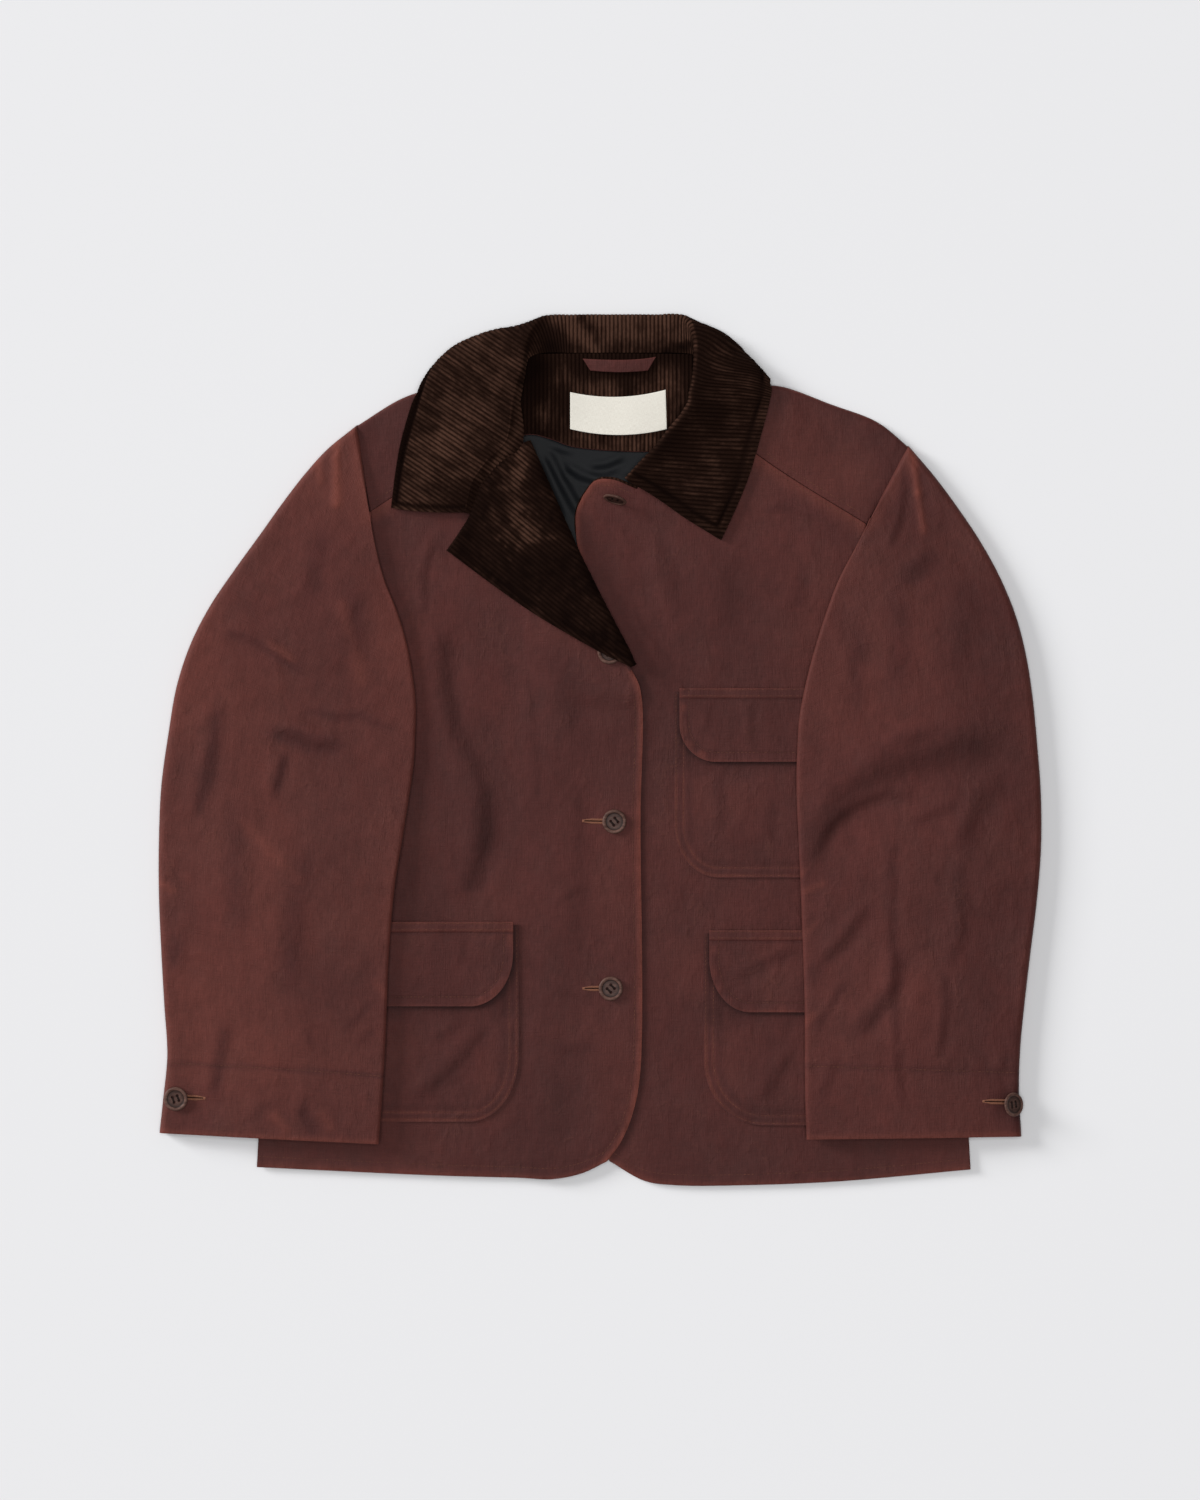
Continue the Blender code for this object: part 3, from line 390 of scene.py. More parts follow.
def make_back():
    """The flat panel, its turn over both shoulders and its return to the forward seams."""
    shoulder_n, neck_n, curl_n, return_n = 34, 26, 8, 18
    turn = WAX + GAP_SHOULDER / 2

    def inset(points):
        """The shoulder line moved in by the radius of the turn, and the way out."""
        way = np.gradient(points, axis=0)
        out = unit(np.stack([-way[:, 1], way[:, 0]], axis=1))
        out = np.where(out[:, 1:] < 0, -out, out)
        return points - out * turn, out

    right, right_out = inset(line(SHOULDER_RIGHT, shoulder_n))
    left, left_out = inset(line(SHOULDER_LEFT, shoulder_n)[::-1])
    top = np.vstack([right, line([(-60, NECK_Y - 2), (11, NECK_Y), (82, NECK_Y - 2)], neck_n), left])
    hem = line([(HEM_RIGHT_X, HEM_SIDE_Y + 2), (11, -340), (HEM_LEFT_X, HEM_SIDE_Y)], len(top))
    right_side = joined(line([hem[0], UNDERARM_RIGHT], 50),
                        line(ARMHOLE_RIGHT[:4] + [(-197.5, 194), (-203.5, 229), tuple(top[0])], 40))
    left_side = joined(line([hem[-1], UNDERARM_LEFT], 50),
                       line(ARMHOLE_LEFT[:4] + [(229.4, 189), (247.0, 220.5), tuple(top[-1])], 40))
    plan = patch(hem, top, right_side, left_side)
    flat = raised(plan, lift(plan[..., 0], plan[..., 1]))
    extra = np.full((curl_n + return_n, len(top), 3), np.nan)
    for first, fold, out, seam in (
            (0, right, right_out, line(SEAM_RIGHT, shoulder_n, smooth=False)),
            (shoulder_n + neck_n, left, left_out, line(SEAM_LEFT, shoulder_n)[::-1])):
        columns = slice(first, first + shoulder_n)
        base = lift(fold[:, 0], fold[:, 1])
        for k in range(1, curl_n + 1):
            angle = math.pi * k / curl_n
            q = fold + out * turn * math.sin(angle)
            extra[k - 1, columns] = raised(q, base + turn * (1 - math.cos(angle)))
        end = seam + unit(fold - seam) * SEAM * 1.5
        for k in range(1, return_n + 1):
            q = fold + (end - fold) * k / return_n
            swell = 0.5 * rumple(q[:, 0], q[:, 1], 5) * math.sin(math.pi * k / return_n)
            extra[curl_n + k - 1, columns] = raised(q, lift(q[:, 0], q[:, 1]) + 2 * turn + swell)
    grid = np.vstack([flat, extra])
    x, y = np.nan_to_num(grid[..., 0]), np.nan_to_num(grid[..., 1])
    tone = 0.25 * waver(x, y, 40, 3)
    tone[len(flat) + 2:len(flat) + 6] += 0.35
    back = cloth("back_cloth", [(grid, np.stack([x, y], axis=-1), tone)], WAX, 1.0, WAXED)
    rest_flat(back)
    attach(back, "root")
    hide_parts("back")
    return back


back = make_back()

# ------------------------------------------------------------------ Lining and back-neck facing
# What shows inside the neck: dark satin lining, above it a corduroy facing with upright wales,
# both flat on the back. The wales are 3.4 mm apart, high and round with a narrow groove between.
CORD = 2.2           # wall of the corduroy
LINING_WALL = 1.0
WALE = 3.4           # from wale to wale
WALE_HEIGHT = 0.55
WALE_PHASES = (0.0, 0.07, 0.2, 0.38, 0.62, 0.8, 0.93)      # columns of points across one wale


def corduroy():
    """Dark brown cotton pile: a painted golden-brown sheen in patches and streaks, and painted shade near
    black in the grooves.
    """
    cord = Finish("corduroy", 0.9, 0.03, sheen_weight=0.02, sheen_roughness=0.35,
                  sheen_tint=(0.60, 0.34, 0.22, 1.0))
    cut, body, tone = cord.cut(), cord.body(), cord.painted("tone")
    u = cord.number("ShaderNodeSeparateXYZ", None, {0: cut})
    # Painted shade: the pile darkens towards near black in the grooves between the wales.
    top = abs(u.math("SINE", u * (math.pi / (WALE * MM))))
    nap = cord.noise(cut, (900.0, 240.0, 1.0), 3.0, 0.6)
    streak = cord.noise(cut, (290.0, 34.0, 1.0), 2.0, 0.5)
    patches = cord.noise(body, (70.0, 70.0, 70.0), 5.0, 0.65)
    fuzz = cord.noise(body, (1700.0, 1700.0, 1700.0), 2.0)
    # Painted sheen: the pile is lighter golden brown in patches and streaks, and where the tone is
    # positive.
    painted_sheen = (patches - 0.5) * 1.7 + (streak - 0.5) * 1.8 + tone * 1.2 + 0.45
    pile = ((0.16 + 0.84 * top ** 1.8) * (0.15 + nap * 1.7) * (0.22 + painted_sheen.clipped() * 1.1)).clipped()
    color = cord.mix(pile, (0.0062, 0.0020, 0.0011), (0.066, 0.0310, 0.0205))
    # Painted shade: a negative tone darkens the pile further.
    color = cord.mix((tone * -1.0).clipped(), color, (0.0045, 0.0016, 0.0010))
    cord.feed("Base Color", color)
    cord.bump(fuzz * 0.00025 + nap * 0.0003, 0.8)
    return cord.material


CORDUROY = corduroy()


def wale_columns(grid, wale, *fields):
    """The grid resampled so that its columns follow the wales, closest together in the grooves."""
    first, last = math.floor(wale.min() / WALE), math.ceil(wale.max() / WALE)
    want = (np.arange(first, last)[:, None] + np.array(WALE_PHASES)).ravel() * WALE
    out = []
    for field in (grid, wale[..., None], *fields):
        rows = []
        for w, row in zip(wale, field):
            rows.append(np.stack([np.interp(want, w, row[:, k]) for k in range(row.shape[1])], axis=1))
        out.append(np.array(rows))
    return out


def facing_of(grid):
    """Unit normals of a grid."""
    return unit(np.cross(np.gradient(grid, axis=1), np.gradient(grid, axis=0)))


def shell(name, outer, inner, cut, tone, material):
    """A closed piece between two grids of the same size."""
    rows, columns = outer.shape[:2]
    index = np.arange(rows * columns).reshape(rows, columns)
    quads = quads_of(index).reshape(-1, 4)
    ring = np.concatenate([index[0, :], index[1:, -1], index[-1, -2::-1], index[-2:0:-1, 0]])
    after = np.roll(ring, -1)
    count = rows * columns
    rim = np.stack([after, ring, ring + count, after + count], axis=-1)
    faces = np.vstack([quads, quads[:, ::-1] + count, rim]).tolist()
    obj = mesh_object(name, np.vstack([outer.reshape(-1, 3), inner.reshape(-1, 3)]), faces,
                      np.tile(cut.reshape(-1, 2), (2, 1)), np.tile(tone.ravel(), 2), material)
    bm = bmesh.new()
    bm.from_mesh(obj.data)
    bmesh.ops.remove_doubles(bm, verts=bm.verts, dist=1e-5)
    bmesh.ops.dissolve_degenerate(bm, edges=bm.edges, dist=1e-6)
    bmesh.ops.recalc_face_normals(bm, faces=bm.faces)
    bm.to_mesh(obj.data)
    bm.free()
    apply_all(obj)
    return obj


def spread_normals(grid, wale):
    """Normals of the smooth grid at the wale columns."""
    return unit(wale_columns(grid, wale, facing_of(grid))[2])


def corduroy_shell(name, grid, wale, wall, tone, calm=None, turned=False):
    """Corduroy: the wales stand up from the grid, lower where calm is under 1; turned is for a
    grid whose normals point in."""
    calm = np.ones(wale.shape) if calm is None else calm
    if turned:
        grid, wale, tone, calm = grid[::-1], wale[::-1], tone[::-1], calm[::-1]
    base, w, shade, rest = wale_columns(grid, wale, tone[..., None], calm[..., None])
    w, shade, rest = w[..., 0], shade[..., 0], rest[..., 0]
    smooth = spread_normals(grid, wale)
    depth = WALE_HEIGHT * (0.85 + 0.25 * waver(w * 3.1, base[..., 1] + base[..., 0], 17, 8)) * rest
    high = np.abs(np.sin(math.pi * w / WALE)) ** 0.7 * depth - WALE_HEIGHT * 0.5
    length = np.concatenate([np.zeros((1,) + w.shape[1:]),
                             np.cumsum(np.linalg.norm(np.diff(base, axis=0), axis=2), axis=0)])
    cut = np.stack([w, length], axis=-1)
    return shell(name, base + smooth * high[..., None], base - smooth * wall, cut, shade, CORDUROY)


def near(off, width):
    """1 where off is 0, fading away over a width."""
    return np.exp(-(off / width) ** 2)


def from_segment(x, y, start, end):
    """Distance in plan from each point to a segment, how far along its foot is, and the length."""
    (x0, y0), (x1, y1) = start, end
    dx, dy = x1 - x0, y1 - y0
    length = max(math.hypot(dx, dy), 1e-9)
    t = np.clip(((x - x0) * dx + (y - y0) * dy) / length ** 2, 0, 1)
    return np.hypot(x - x0 - dx * t, y - y0 - dy * t), t * length, length


def bends(table, x, y):
    """Height of folds (half width, height, path), high on the left of the path and low on its right, and
    the strength of the lines along them, which the pieces darken as painted shade."""
    total, lines = np.zeros_like(x), np.zeros_like(x)
    for width, height, path in table:
        off = np.full(x.shape, 1e9)
        along = np.zeros(x.shape)
        run = 0.0
        for (x0, y0), (x1, y1) in zip(path[:-1], path[1:]):
            far, at, length = from_segment(x, y, (x0, y0), (x1, y1))
            hand = np.where((x1 - x0) * (y - y0) - (y1 - y0) * (x - x0) > 0, 1.0, -1.0)
            nearer = far < np.abs(off)
            off = np.where(nearer, far * hand, off)
            along = np.where(nearer, run + at, along)
            run += length
        end = min(3.0 * width, 0.45 * run)
        shape = near(off / width - 1, 1.0) - 0.7 * near(off / width + 1, 1.0)
        there = height * min(1.0, width / 7) ** 0.6 * ease(0, end, along) * ease(run, run - end, along)
        total += 0.62 * there * shape
        lines += there * near(off, 0.8 * width)
    return total, lines


neck_low = [(-72, 263), (-57, 265), (-41, 261), (-24, 255), (18, 251), (46, 251), (78, 256)]
neck_high = [(-62, NECK_Y + 0.9), (11, NECK_Y + 1.4), (83, NECK_Y + 0.9)]
neck_right = [(-72, 263), (-72.5, 286), (-69.5, 299), (-66.5, 311), (-62, NECK_Y + 0.9)]
neck_left = [(78, 256), (85, 286), (85.5, 304), (85, 316), (83, NECK_Y + 0.9)]
neck_plan = patch(line(neck_low, 60), line(neck_high, 60), line(neck_right, 34), line(neck_left, 34))
neck_x, neck_y = neck_plan[..., 0], neck_plan[..., 1]
neck_grid = raised(neck_plan, lift(neck_x, neck_y) + WAX + LIE + CORD + 0.25 * waver(neck_x, neck_y, 15, 4)
                   + 1.3 * ease(320, 332, neck_y))
# Painted shade: the neck facing is darker towards its top under the collar stand and towards both sides.
neck_tone = -0.4 * ease(304, 322, neck_y) - 0.5 * ease(-36, -60, neck_x) - 0.3 * ease(58, 76, neck_x) \
    - 0.15 + 0.3 * waver(neck_x, neck_y, 18, 21)
neck_facing = corduroy_shell("back_neck_facing_cloth", neck_grid, neck_x, CORD - 0.3, neck_tone)
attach(neck_facing, "root")
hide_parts("back_neck_facing")

satin = Finish("lining_satin", 0.38, 0.06, sheen_weight=0.02)
satin_threads = satin.noise(satin.body(), (180.0, 2600.0, 180.0), 2.0)
satin.feed("Base Color", satin.mix(satin_threads, (0.0030, 0.0034, 0.0043), (0.0060, 0.0067, 0.0083)))
satin.bump(satin_threads * 0.00006, 0.6)
LINING_FOLDS = [   # half width, height, path
    (4.5, 1.6, [(-22, 178), (-38, 212), (-54, 250)]), (3.6, 1.3, [(-6, 188), (-26, 222), (-44, 254)]),
    (3.6, 1.4, [(-34, 238), (-16, 228), (4, 222), (22, 230)]),
    (3.2, 1.2, [(-12, 236), (6, 238), (24, 246)]),
    (4.0, 1.4, [(10, 212), (24, 224), (44, 222), (54, 236)]), (3.6, 1.0, [(-14, 206), (0, 204), (12, 196)]),
    (3.0, 0.9, [(-52, 258), (-34, 252), (-20, 246)]),
]
lining_top = line(neck_low, 60) - (0, 2 * SEAM)
lining_plan = patch(line([(-20, 158), (14, 168), (44, 190)], 60), lining_top,
                    line([(-20, 158), (-50, 212), tuple(lining_top[0])], 50),
                    line([(44, 190), (60, 224), tuple(lining_top[-1])], 50))
lining_x, lining_y = lining_plan[..., 0], lining_plan[..., 1]
lining_rise = np.maximum(0.5 + 1.5 * bends(LINING_FOLDS, lining_x, lining_y)[0], -0.2) \
    * ease(186, 204, lining_y) * ease(262, 250, lining_y)
lining_grid = raised(lining_plan, lift(lining_x, lining_y) + WAX + SEAM + lining_rise)
lining = cloth("lining_cloth", [(lining_grid, lining_plan, 0 * lining_x)], LINING_WALL, 1.0,
               satin.material)
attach(lining, "root")
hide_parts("lining")

# ------------------------------------------------------------------ Fronts
# Two waxed panels over the back. The right one laps over the left one and its top is turned
# back as the lapel. Both front edges and the hems are turned in and stitched.
GAP_HEM, GAP_CHEST = 1.0, 2.0
EDGE_X = 34.0
BREAK, ROLL_TOP, LAPEL_TIP, NOTCH = (31.0, 72.0), (-56.0, 255.0), (-127.0, 166.0), (-105.0, 197.0)
LAP_STEP = 2.0       # the right front steps up over the left one by this
ROLL_STEP = CORD + LIE + SEAM      # and over its own facing by this
ROLL_GAP = 3.8       # space inside the lapel's roll
ROLL_RADIUS = WAX + ROLL_GAP / 2
ROLL_OUT = ROLL_RADIUS + LIE + CORD
LAPEL_DROP = ROLL_GAP - 1.2
STITCH_IN, HEM_IN, CORNER_IN = 6.5, 9.0, 5.5     # the stitching runs this far inside an edge
RIGHT_FOLDS = [   # half width, height, path
    (9.5, 1.8, [(-119, -135), (-107, -111), (-96, -72), (-98, -33), (-107, -9), (-122, 20), (-129, 49),
              (-131, 87), (-127, 112)]),
    (12, 0.8, [(-98, -110), (-86, -30), (-104, 40)]),
    (4, 0.8, [(-52, -44), (-52, -14), (-56, 15), (-59, 66)]),
    (3.2, 0.8, [(-76, -127), (-60, -141), (-48, -131), (-39, -131), (-15, -115), (4, -120)]),
    (4, 1.1, [(-147, 112), (-147, 149), (-137, 180)]), (3, 0.7, [(-128, 146), (-129, 161), (-138, 178)]),
    (5, 0.5, [(-78, -253), (-30, -250), (26, -252)]), (5, 0.5, [(-80, -192), (-40, -198), (0, -214)]),
    (6, 1.1, [(-130, -343), (-104, -323), (-90, -308)]), (9, 0.7, [(-52, -345), (-36, -310), (-30, -270)]),
    (2.5, 0.4, [(4, -187), (14, -179), (25, -171)]), (14, 0.9, [(-30, 0), (-26, 60), (-60, 96)]),
    (10, 0.7, [(-20, -180), (-14, -90), (-20, -20)]),
]
LEFT_FOLDS = [    # half width, height, path
    (3.5, 1.3, [(136, 198), (152, 203.5), (167, 200), (183, 193), (197, 180), (202, 168)]),
    (4, 1.0, [(64, 48), (57, 78), (38, 99), (24, 124)]),
    (5, 1.0, [(83, -150), (71, -135), (57, -130), (38, -110)]),
    (7, 0.7, [(60, -310), (64, -240), (58, -180)]), (14, 1.1, [(104, 84), (112, 130), (104, 176)]),
    (9, 0.9, [(70, 108), (60, 150), (44, 186)]), (10, 0.6, [(52, -60), (50, 0), (54, 40)]),
    (8, 0.6, [(150, 96), (168, 132), (170, 160)]),
]
LEFT_NECKLINE = [(31, 219), (44, 236), (60, 258), (76, 278), (82, 284)]
TOP_CORNER = [(-14, 214), (-4, 226), (10, 227), (31, 219)]
ROLL_LINE = [BREAK, (-14, 160), ROLL_TOP]
LAPEL_EDGE = [(21.5, 71.5), (2, 80.8), (-50, 111), (-92, 140), LAPEL_TIP]
LAPEL_TOP = np.array([ROLL_TOP, (-79, 240), (-96.5, 221.5), NOTCH, LAPEL_TIP])


def run_lengths(grid):
    """Cut map of a grid from its lengths along the rows and up the middle column."""
    across = np.linalg.norm(np.diff(grid, axis=1), axis=2)
    u = np.concatenate([np.zeros((len(grid), 1)), np.cumsum(across, axis=1)], axis=1)
    u -= u[:, u.shape[1] // 2][:, None]
    up = np.linalg.norm(np.diff(grid, axis=0), axis=2).mean(axis=1)
    v = np.concatenate([[0.0], np.cumsum(up)])[:, None] + np.zeros_like(u)
    return np.stack([u, v], axis=-1)


def measured(path, x, y):
    """Distance in plan from each point to a polyline, and how far along it."""
    path = np.asarray(path, float)
    best = np.full(x.shape, 1e9)
    along = np.zeros(x.shape)
    run = 0.0
    for start, end in zip(path[:-1, :2], path[1:, :2]):
        off, at, length = from_segment(x, y, start, end)
        along = np.where(off < best, run + at, along)
        best = np.minimum(best, off)
        run += length
    return best, along


def distance(path, x, y):
    """Distance in plan from each point to a polyline."""
    return measured(path, x, y)[0]


def body_gap(y):
    """Space between back and front."""
    chest = GAP_HEM + (GAP_CHEST - GAP_HEM) * ease(-180, -70, y)
    return chest + (GAP_SHOULDER - GAP_CHEST) * ease(58, 185, y)


def front_base(x, y):
    """Underside of a front that lies straight on the back."""
    return lift(x, y) + WAX + body_gap(y)


roll_marks = spline(ROLL_LINE, np.linspace(0, 1, 40))


def roll_distance(x, y):
    """Distance in plan from the lapel's roll line."""
    return distance(roll_marks, x, y)


def lapped_base(x, y, away=None):
    """Underside of the right front: it steps up over the left front and over its own facing;
    away is the distance from the roll, where it is known."""
    away = roll_distance(x, y) if away is None else away
    return front_base(x, y) + LAP_STEP * ease(-78, -34, x) \
        + ROLL_STEP * ease(84, 44, away) * ease(30, 52, y)


def stitched_edge(path, x, y, reach=STITCH_IN, depth=0.32):
    """The groove of a row of stitches along an edge, and the pucker that the thread draws up."""
    off, along = measured(path, x, y)
    groove = -depth * near(off - reach, 1.1)
    pucker = waver(along, 0 * along, 5.5, 31) * near(off - reach, 4.0) * 0.16
    return groove + pucker, near(off, 3.2)


def left_front_free(x, y):
    """1 where the left front lies free, 0 under sleeve, pockets and the lapped front."""
    free = np.where(y < 120, ease(164, 138, x), ease(215, 180, x))
    clear_lap = np.where(y < 110, ease(14, 34, x), ease(-10, 8, x))
    pockets = np.where(y < -130, ease(40, 26, x), 1.0)
    chest = np.where((y >= -130) & (y < 66), ease(46, 34, x), 1.0)
    return free * clear_lap * pockets * chest


left_hem = line([(8, -345), (37, -361.5), (63, -365.2), (122, -365.2), (200, -362),
                 (HEM_LEFT_X, -352)], 112)
left_top = joined(line(TOP_CORNER, 22), line(LEFT_NECKLINE, 30), line(SEAM_LEFT, 62)[::-1])
left_edge = joined(line([(8, -345), (-6, -318), (-12, -270), (-12, -60), (-13, 130)], 130),
                   line([(-13, 130), (-20, 180), (-20, 200), (-14, 214)], 34))
left_side = joined(line([(HEM_LEFT_X, -352), UNDERARM_LEFT], 110), line(ARMHOLE_LEFT, 54))
plan = patch(left_hem, left_top, left_edge, left_side)
x, y = plan[..., 0], plan[..., 1]
free = left_front_free(x, y)
hem_groove, hem_rub = stitched_edge(left_hem, x, y, HEM_IN)
corner_groove, corner_rub = stitched_edge(joined(left_edge[120:], line(TOP_CORNER, 30)), x, y, CORNER_IN)
from_shoulder = distance(left_top[50:], x, y)
bend, crease = bends(LEFT_FOLDS, x, y)
rise = free * (bend + 0.8 * rumple(x, y, 41)) \
    + 0.12 * (1 - free) * rumple(x, y, 41) + hem_groove + corner_groove * ease(20, 4, x)
worn_corner = 0.7 * corner_rub + 0.25 * near(distance(TOP_CORNER, x, y), 14)
beside_lap = distance([(EDGE_X, 60), (EDGE_X, -268), (28, -303), (18, -328)], x, y)
# Painted shade: darker along the fold lines and in a dark line beside the right front's lapped edge; hem,
# corner and shoulder are rubbed lighter.
tone = 0.5 * hem_rub + worn_corner * ease(24, 2, x) + 0.45 * near(from_shoulder, 9) \
    - 0.22 * free * crease + 0.12 * waver(x, y, 55, 43) - 0.6 * near(beside_lap, 4.5)
left_grid = raised(plan, front_base(x, y) + rise)
front_left = cloth("front_left_cloth", [(left_grid, plan, tone)], WAX, 1.0, WAXED)
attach(front_left, "root")
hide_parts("front_left")


def roll_out(s):
    """Way in plan in which the roll bulges."""
    way = spline(ROLL_LINE, np.minimum(1.0, s + 0.02)) - spline(ROLL_LINE, np.maximum(0.0, s - 0.02))
    return unit(np.stack([way[..., 1], -way[..., 0]], axis=-1))


def roll_point(s):
    """Start of the curl: inside the visible roll by the curl's own depth."""
    return spline(ROLL_LINE, s) - roll_out(s) * ROLL_OUT


def lapel_grid(s, out, under, curl_n, fall_n):
    """Rows round the roll and across the lapel, moved out from the cloth's inner side by out."""
    start = roll_point(s)
    outward = roll_out(s)
    end = spline(LAPEL_EDGE, s)
    base = lapped_base(start[:, 0], start[:, 1], 0 * s)
    columns = []
    for k in range(under, 0, -1):
        p = start - outward * 9.0 * k / max(under, 1)
        columns.append(raised(p, lapped_base(p[:, 0], p[:, 1]) - out))
    radius = ROLL_RADIUS + out
    for k in range(curl_n + 1):
        angle = math.pi * k / curl_n
        p = start + outward * radius * math.sin(angle)
        columns.append(raised(p, base + ROLL_RADIUS - radius * math.cos(angle)))
    marks = np.linspace(0, 1, len(LAPEL_TOP))
    tip_start, tip_end = roll_point(np.array([1.0]))[0], spline(LAPEL_EDGE, np.array([1.0]))[0]
    for k in range(1, fall_n + 1):
        t = k / fall_n
        top = np.array([np.interp(t, marks, LAPEL_TOP[:, 0]), np.interp(t, marks, LAPEL_TOP[:, 1])])
        shift = top - (tip_start + (tip_end - tip_start) * t)
        p = start + (end - start) * t + shift * (ease(0.72, 1.0, s) * ease(0.0, 0.3, t))[:, None]
        drop = LAPEL_DROP * ease(0.15, 1.0, t) * ease(0.25, 1.0, s)
        columns.append(raised(p, lapped_base(p[:, 0], p[:, 1]) + 2 * ROLL_RADIUS + out - drop))
    return np.stack(columns, axis=1)


def right_front_free(x, y):
    """1 where the right front lies free, 0 under sleeve, pocket, lapel and buttons."""
    sleeve = np.where(y < 110, ease(-168, -146, x), ease(-190, -165, x))
    pocket = np.where(y < -120, ease(-46, -32, x), 1.0)
    lapel = np.where(y > 70, ease(20, 46, roll_distance(x, y)), 1.0)
    return sleeve * pocket * ease(4, -18, x) * lapel


EDGE_ROWS, ROLL_ROWS, NECK_ROWS = 130, 64, 14     # rows of the right front, from the hem up
FRONT_COLUMNS = 96
roll_steps = np.linspace(0, 1, ROLL_ROWS) ** 1.5
right_seam = line(SEAM_RIGHT, FRONT_COLUMNS, smooth=False)
right_hem = line([(HEM_RIGHT_X, HEM_SIDE_Y), (-138, -357), (-67, -359), (-40, -360), (-15, -355),
                  (6, -345)], FRONT_COLUMNS)
right_edge = line([(6, -345), (18, -328), (28, -303), (EDGE_X, -268), (EDGE_X, -60), (EDGE_X, 50),
                   tuple(roll_point(np.array([0.0]))[0])], EDGE_ROWS)
neckline = line([tuple(roll_point(np.array([1.0]))[0]), (-68, 268), SEAM_RIGHT[-1]], NECK_ROWS)
right_side = joined(line([(HEM_RIGHT_X, HEM_SIDE_Y), UNDERARM_RIGHT], EDGE_ROWS),
                    line(ARMHOLE_RIGHT, ROLL_ROWS + NECK_ROWS - 1))
plan = patch(right_hem, right_seam, right_side, joined(right_edge, roll_point(roll_steps), neckline))
x, y = plan[..., 0], plan[..., 1]
free = right_front_free(x, y)
hem_groove, hem_rub = stitched_edge(right_hem, x, y, HEM_IN)
edge_groove, edge_rub = stitched_edge(right_edge, x, y)
bend, crease = bends(RIGHT_FOLDS, x, y)
from_shoulder = distance(right_seam, x, y)
from_lapel = np.minimum(roll_distance(x, y), distance(LAPEL_TOP, x, y))
rise = free * (bend + 0.8 * rumple(x, y, 51)) \
    + 0.12 * (1 - free) * rumple(x, y, 51) + (hem_groove + edge_groove) * ease(72, 56, y)
# Painted shade: darker along the fold lines and close beside the lapel's roll and top near the gorge; hem,
# edge and shoulder are rubbed lighter.
tone = 0.5 * hem_rub + 0.8 * edge_rub * ease(76, 60, y) + 0.45 * near(from_shoulder, 9) \
    - 0.3 * free * crease + 0.12 * waver(x, y, 55, 53) - 1.3 * ease(10, 4, from_lapel) * ease(190, 205, y)
body = (raised(plan, lapped_base(x, y) + rise), plan, tone)
fold_over = lapel_grid(roll_steps, 0.0, 0, 10, 40)
fold_over[:, 0] = body[0][EDGE_ROWS - 1:EDGE_ROWS - 1 + ROLL_ROWS, -1]
# Painted shade: the waxed cloth inside the lapel's roll is darkened.
lapel = (fold_over, run_lengths(fold_over)[..., ::-1], np.full(fold_over.shape[:2], -0.9))
front_right = cloth("front_right_cloth", [body, lapel], WAX, 1.0, WAXED)
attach(front_right, "root")
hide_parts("front_right")

# ------------------------------------------------------------------ Lapel facing and left facing
# Corduroy sewn inside the fronts. On the right it rolls out over the lapel with its wales cut
# parallel to the front edge, so that they slant on the turned lapel. On the left a rim shows.
FACING_UNDER, FACING_CURL, FACING_FALL = 4, 12, 60      # columns under the roll, round it, across the lapel
facing_rows = lapel_grid(roll_steps, 2 * SEAM, FACING_UNDER, FACING_CURL, FACING_FALL)
facing_columns = np.arange(float(facing_rows.shape[1]))
# One row more carries the facing down past the gorge seam.
past_seam = (facing_rows[-1] - facing_rows[-2]) * 0.95 * ease(70, 56, facing_columns)[:, None] \
    - np.array([0, 0, 1.0])
facing_rows = np.concatenate([facing_rows, (facing_rows[-1] + past_seam)[None]])
# The wales run parallel to the front edge as it is cut, so the fold mirrors them in the roll line.
roll_way = math.atan2(ROLL_TOP[1] - BREAK[1], ROLL_TOP[0] - BREAK[0])
slant = 2 * roll_way - math.pi / 2
across = np.array([-math.sin(slant), math.cos(slant)])
facing_len = np.linalg.norm(np.diff(facing_rows, axis=1), axis=2)
facing_run = np.concatenate([np.zeros((len(facing_rows), 1)), np.cumsum(facing_len, axis=1)], axis=1)
at_roll = FACING_UNDER + FACING_CURL // 2
over = facing_rows[..., :2] @ across
wale_at_roll = over[:, at_roll]
facing_wale = wale_at_roll[:, None] + (facing_run - facing_run[:, at_roll][:, None]) \
    * np.sign(over[:, -1] - over[:, at_roll])[:, None]
at_flat = FACING_UNDER + FACING_CURL + 1
flat_wale = over - over[:, at_flat][:, None] + facing_wale[:, at_flat][:, None]
facing_wale = np.where(facing_columns[None] >= at_flat, flat_wale, facing_wale)
facing_wale = np.maximum.accumulate(facing_wale + np.arange(facing_wale.shape[1]) * 1e-4, axis=1)
edge_line = np.vstack([spline(LAPEL_EDGE, np.linspace(0, 1, 40)), LAPEL_TOP[::-1]])
fx, fy = facing_rows[..., 0], facing_rows[..., 1]
rim = distance(edge_line, fx, fy)
# Painted highlight along a band near the roll's top, and painted shade in the stitched groove; the rest is
# random tone and a darker piece.
facing_highlight_path = distance([(-64, 246), (-74, 214), (-58, 182)], fx, fy)
facing_tone = 0.3 * waver(fx, fy, 20, 61) + 0.3 * waver(fx + fy, fy - fx, 6, 67) - 0.6 \
    - 0.3 * near(rim - STITCH_IN, 1.6) + 0.7 * near(facing_highlight_path, 10)
groove = -0.5 * near(rim - STITCH_IN, 1.4) + 0.15 * waver(fx, fy, 24, 63)
facing_rows = facing_rows - facing_of(facing_rows) * (CORD - 0.1 + groove)[..., None]
lapel_facing = corduroy_shell("lapel_facing_cloth", facing_rows, facing_wale, CORD - 0.4, facing_tone,
                              turned=True)
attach(lapel_facing, "root")
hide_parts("lapel_facing")

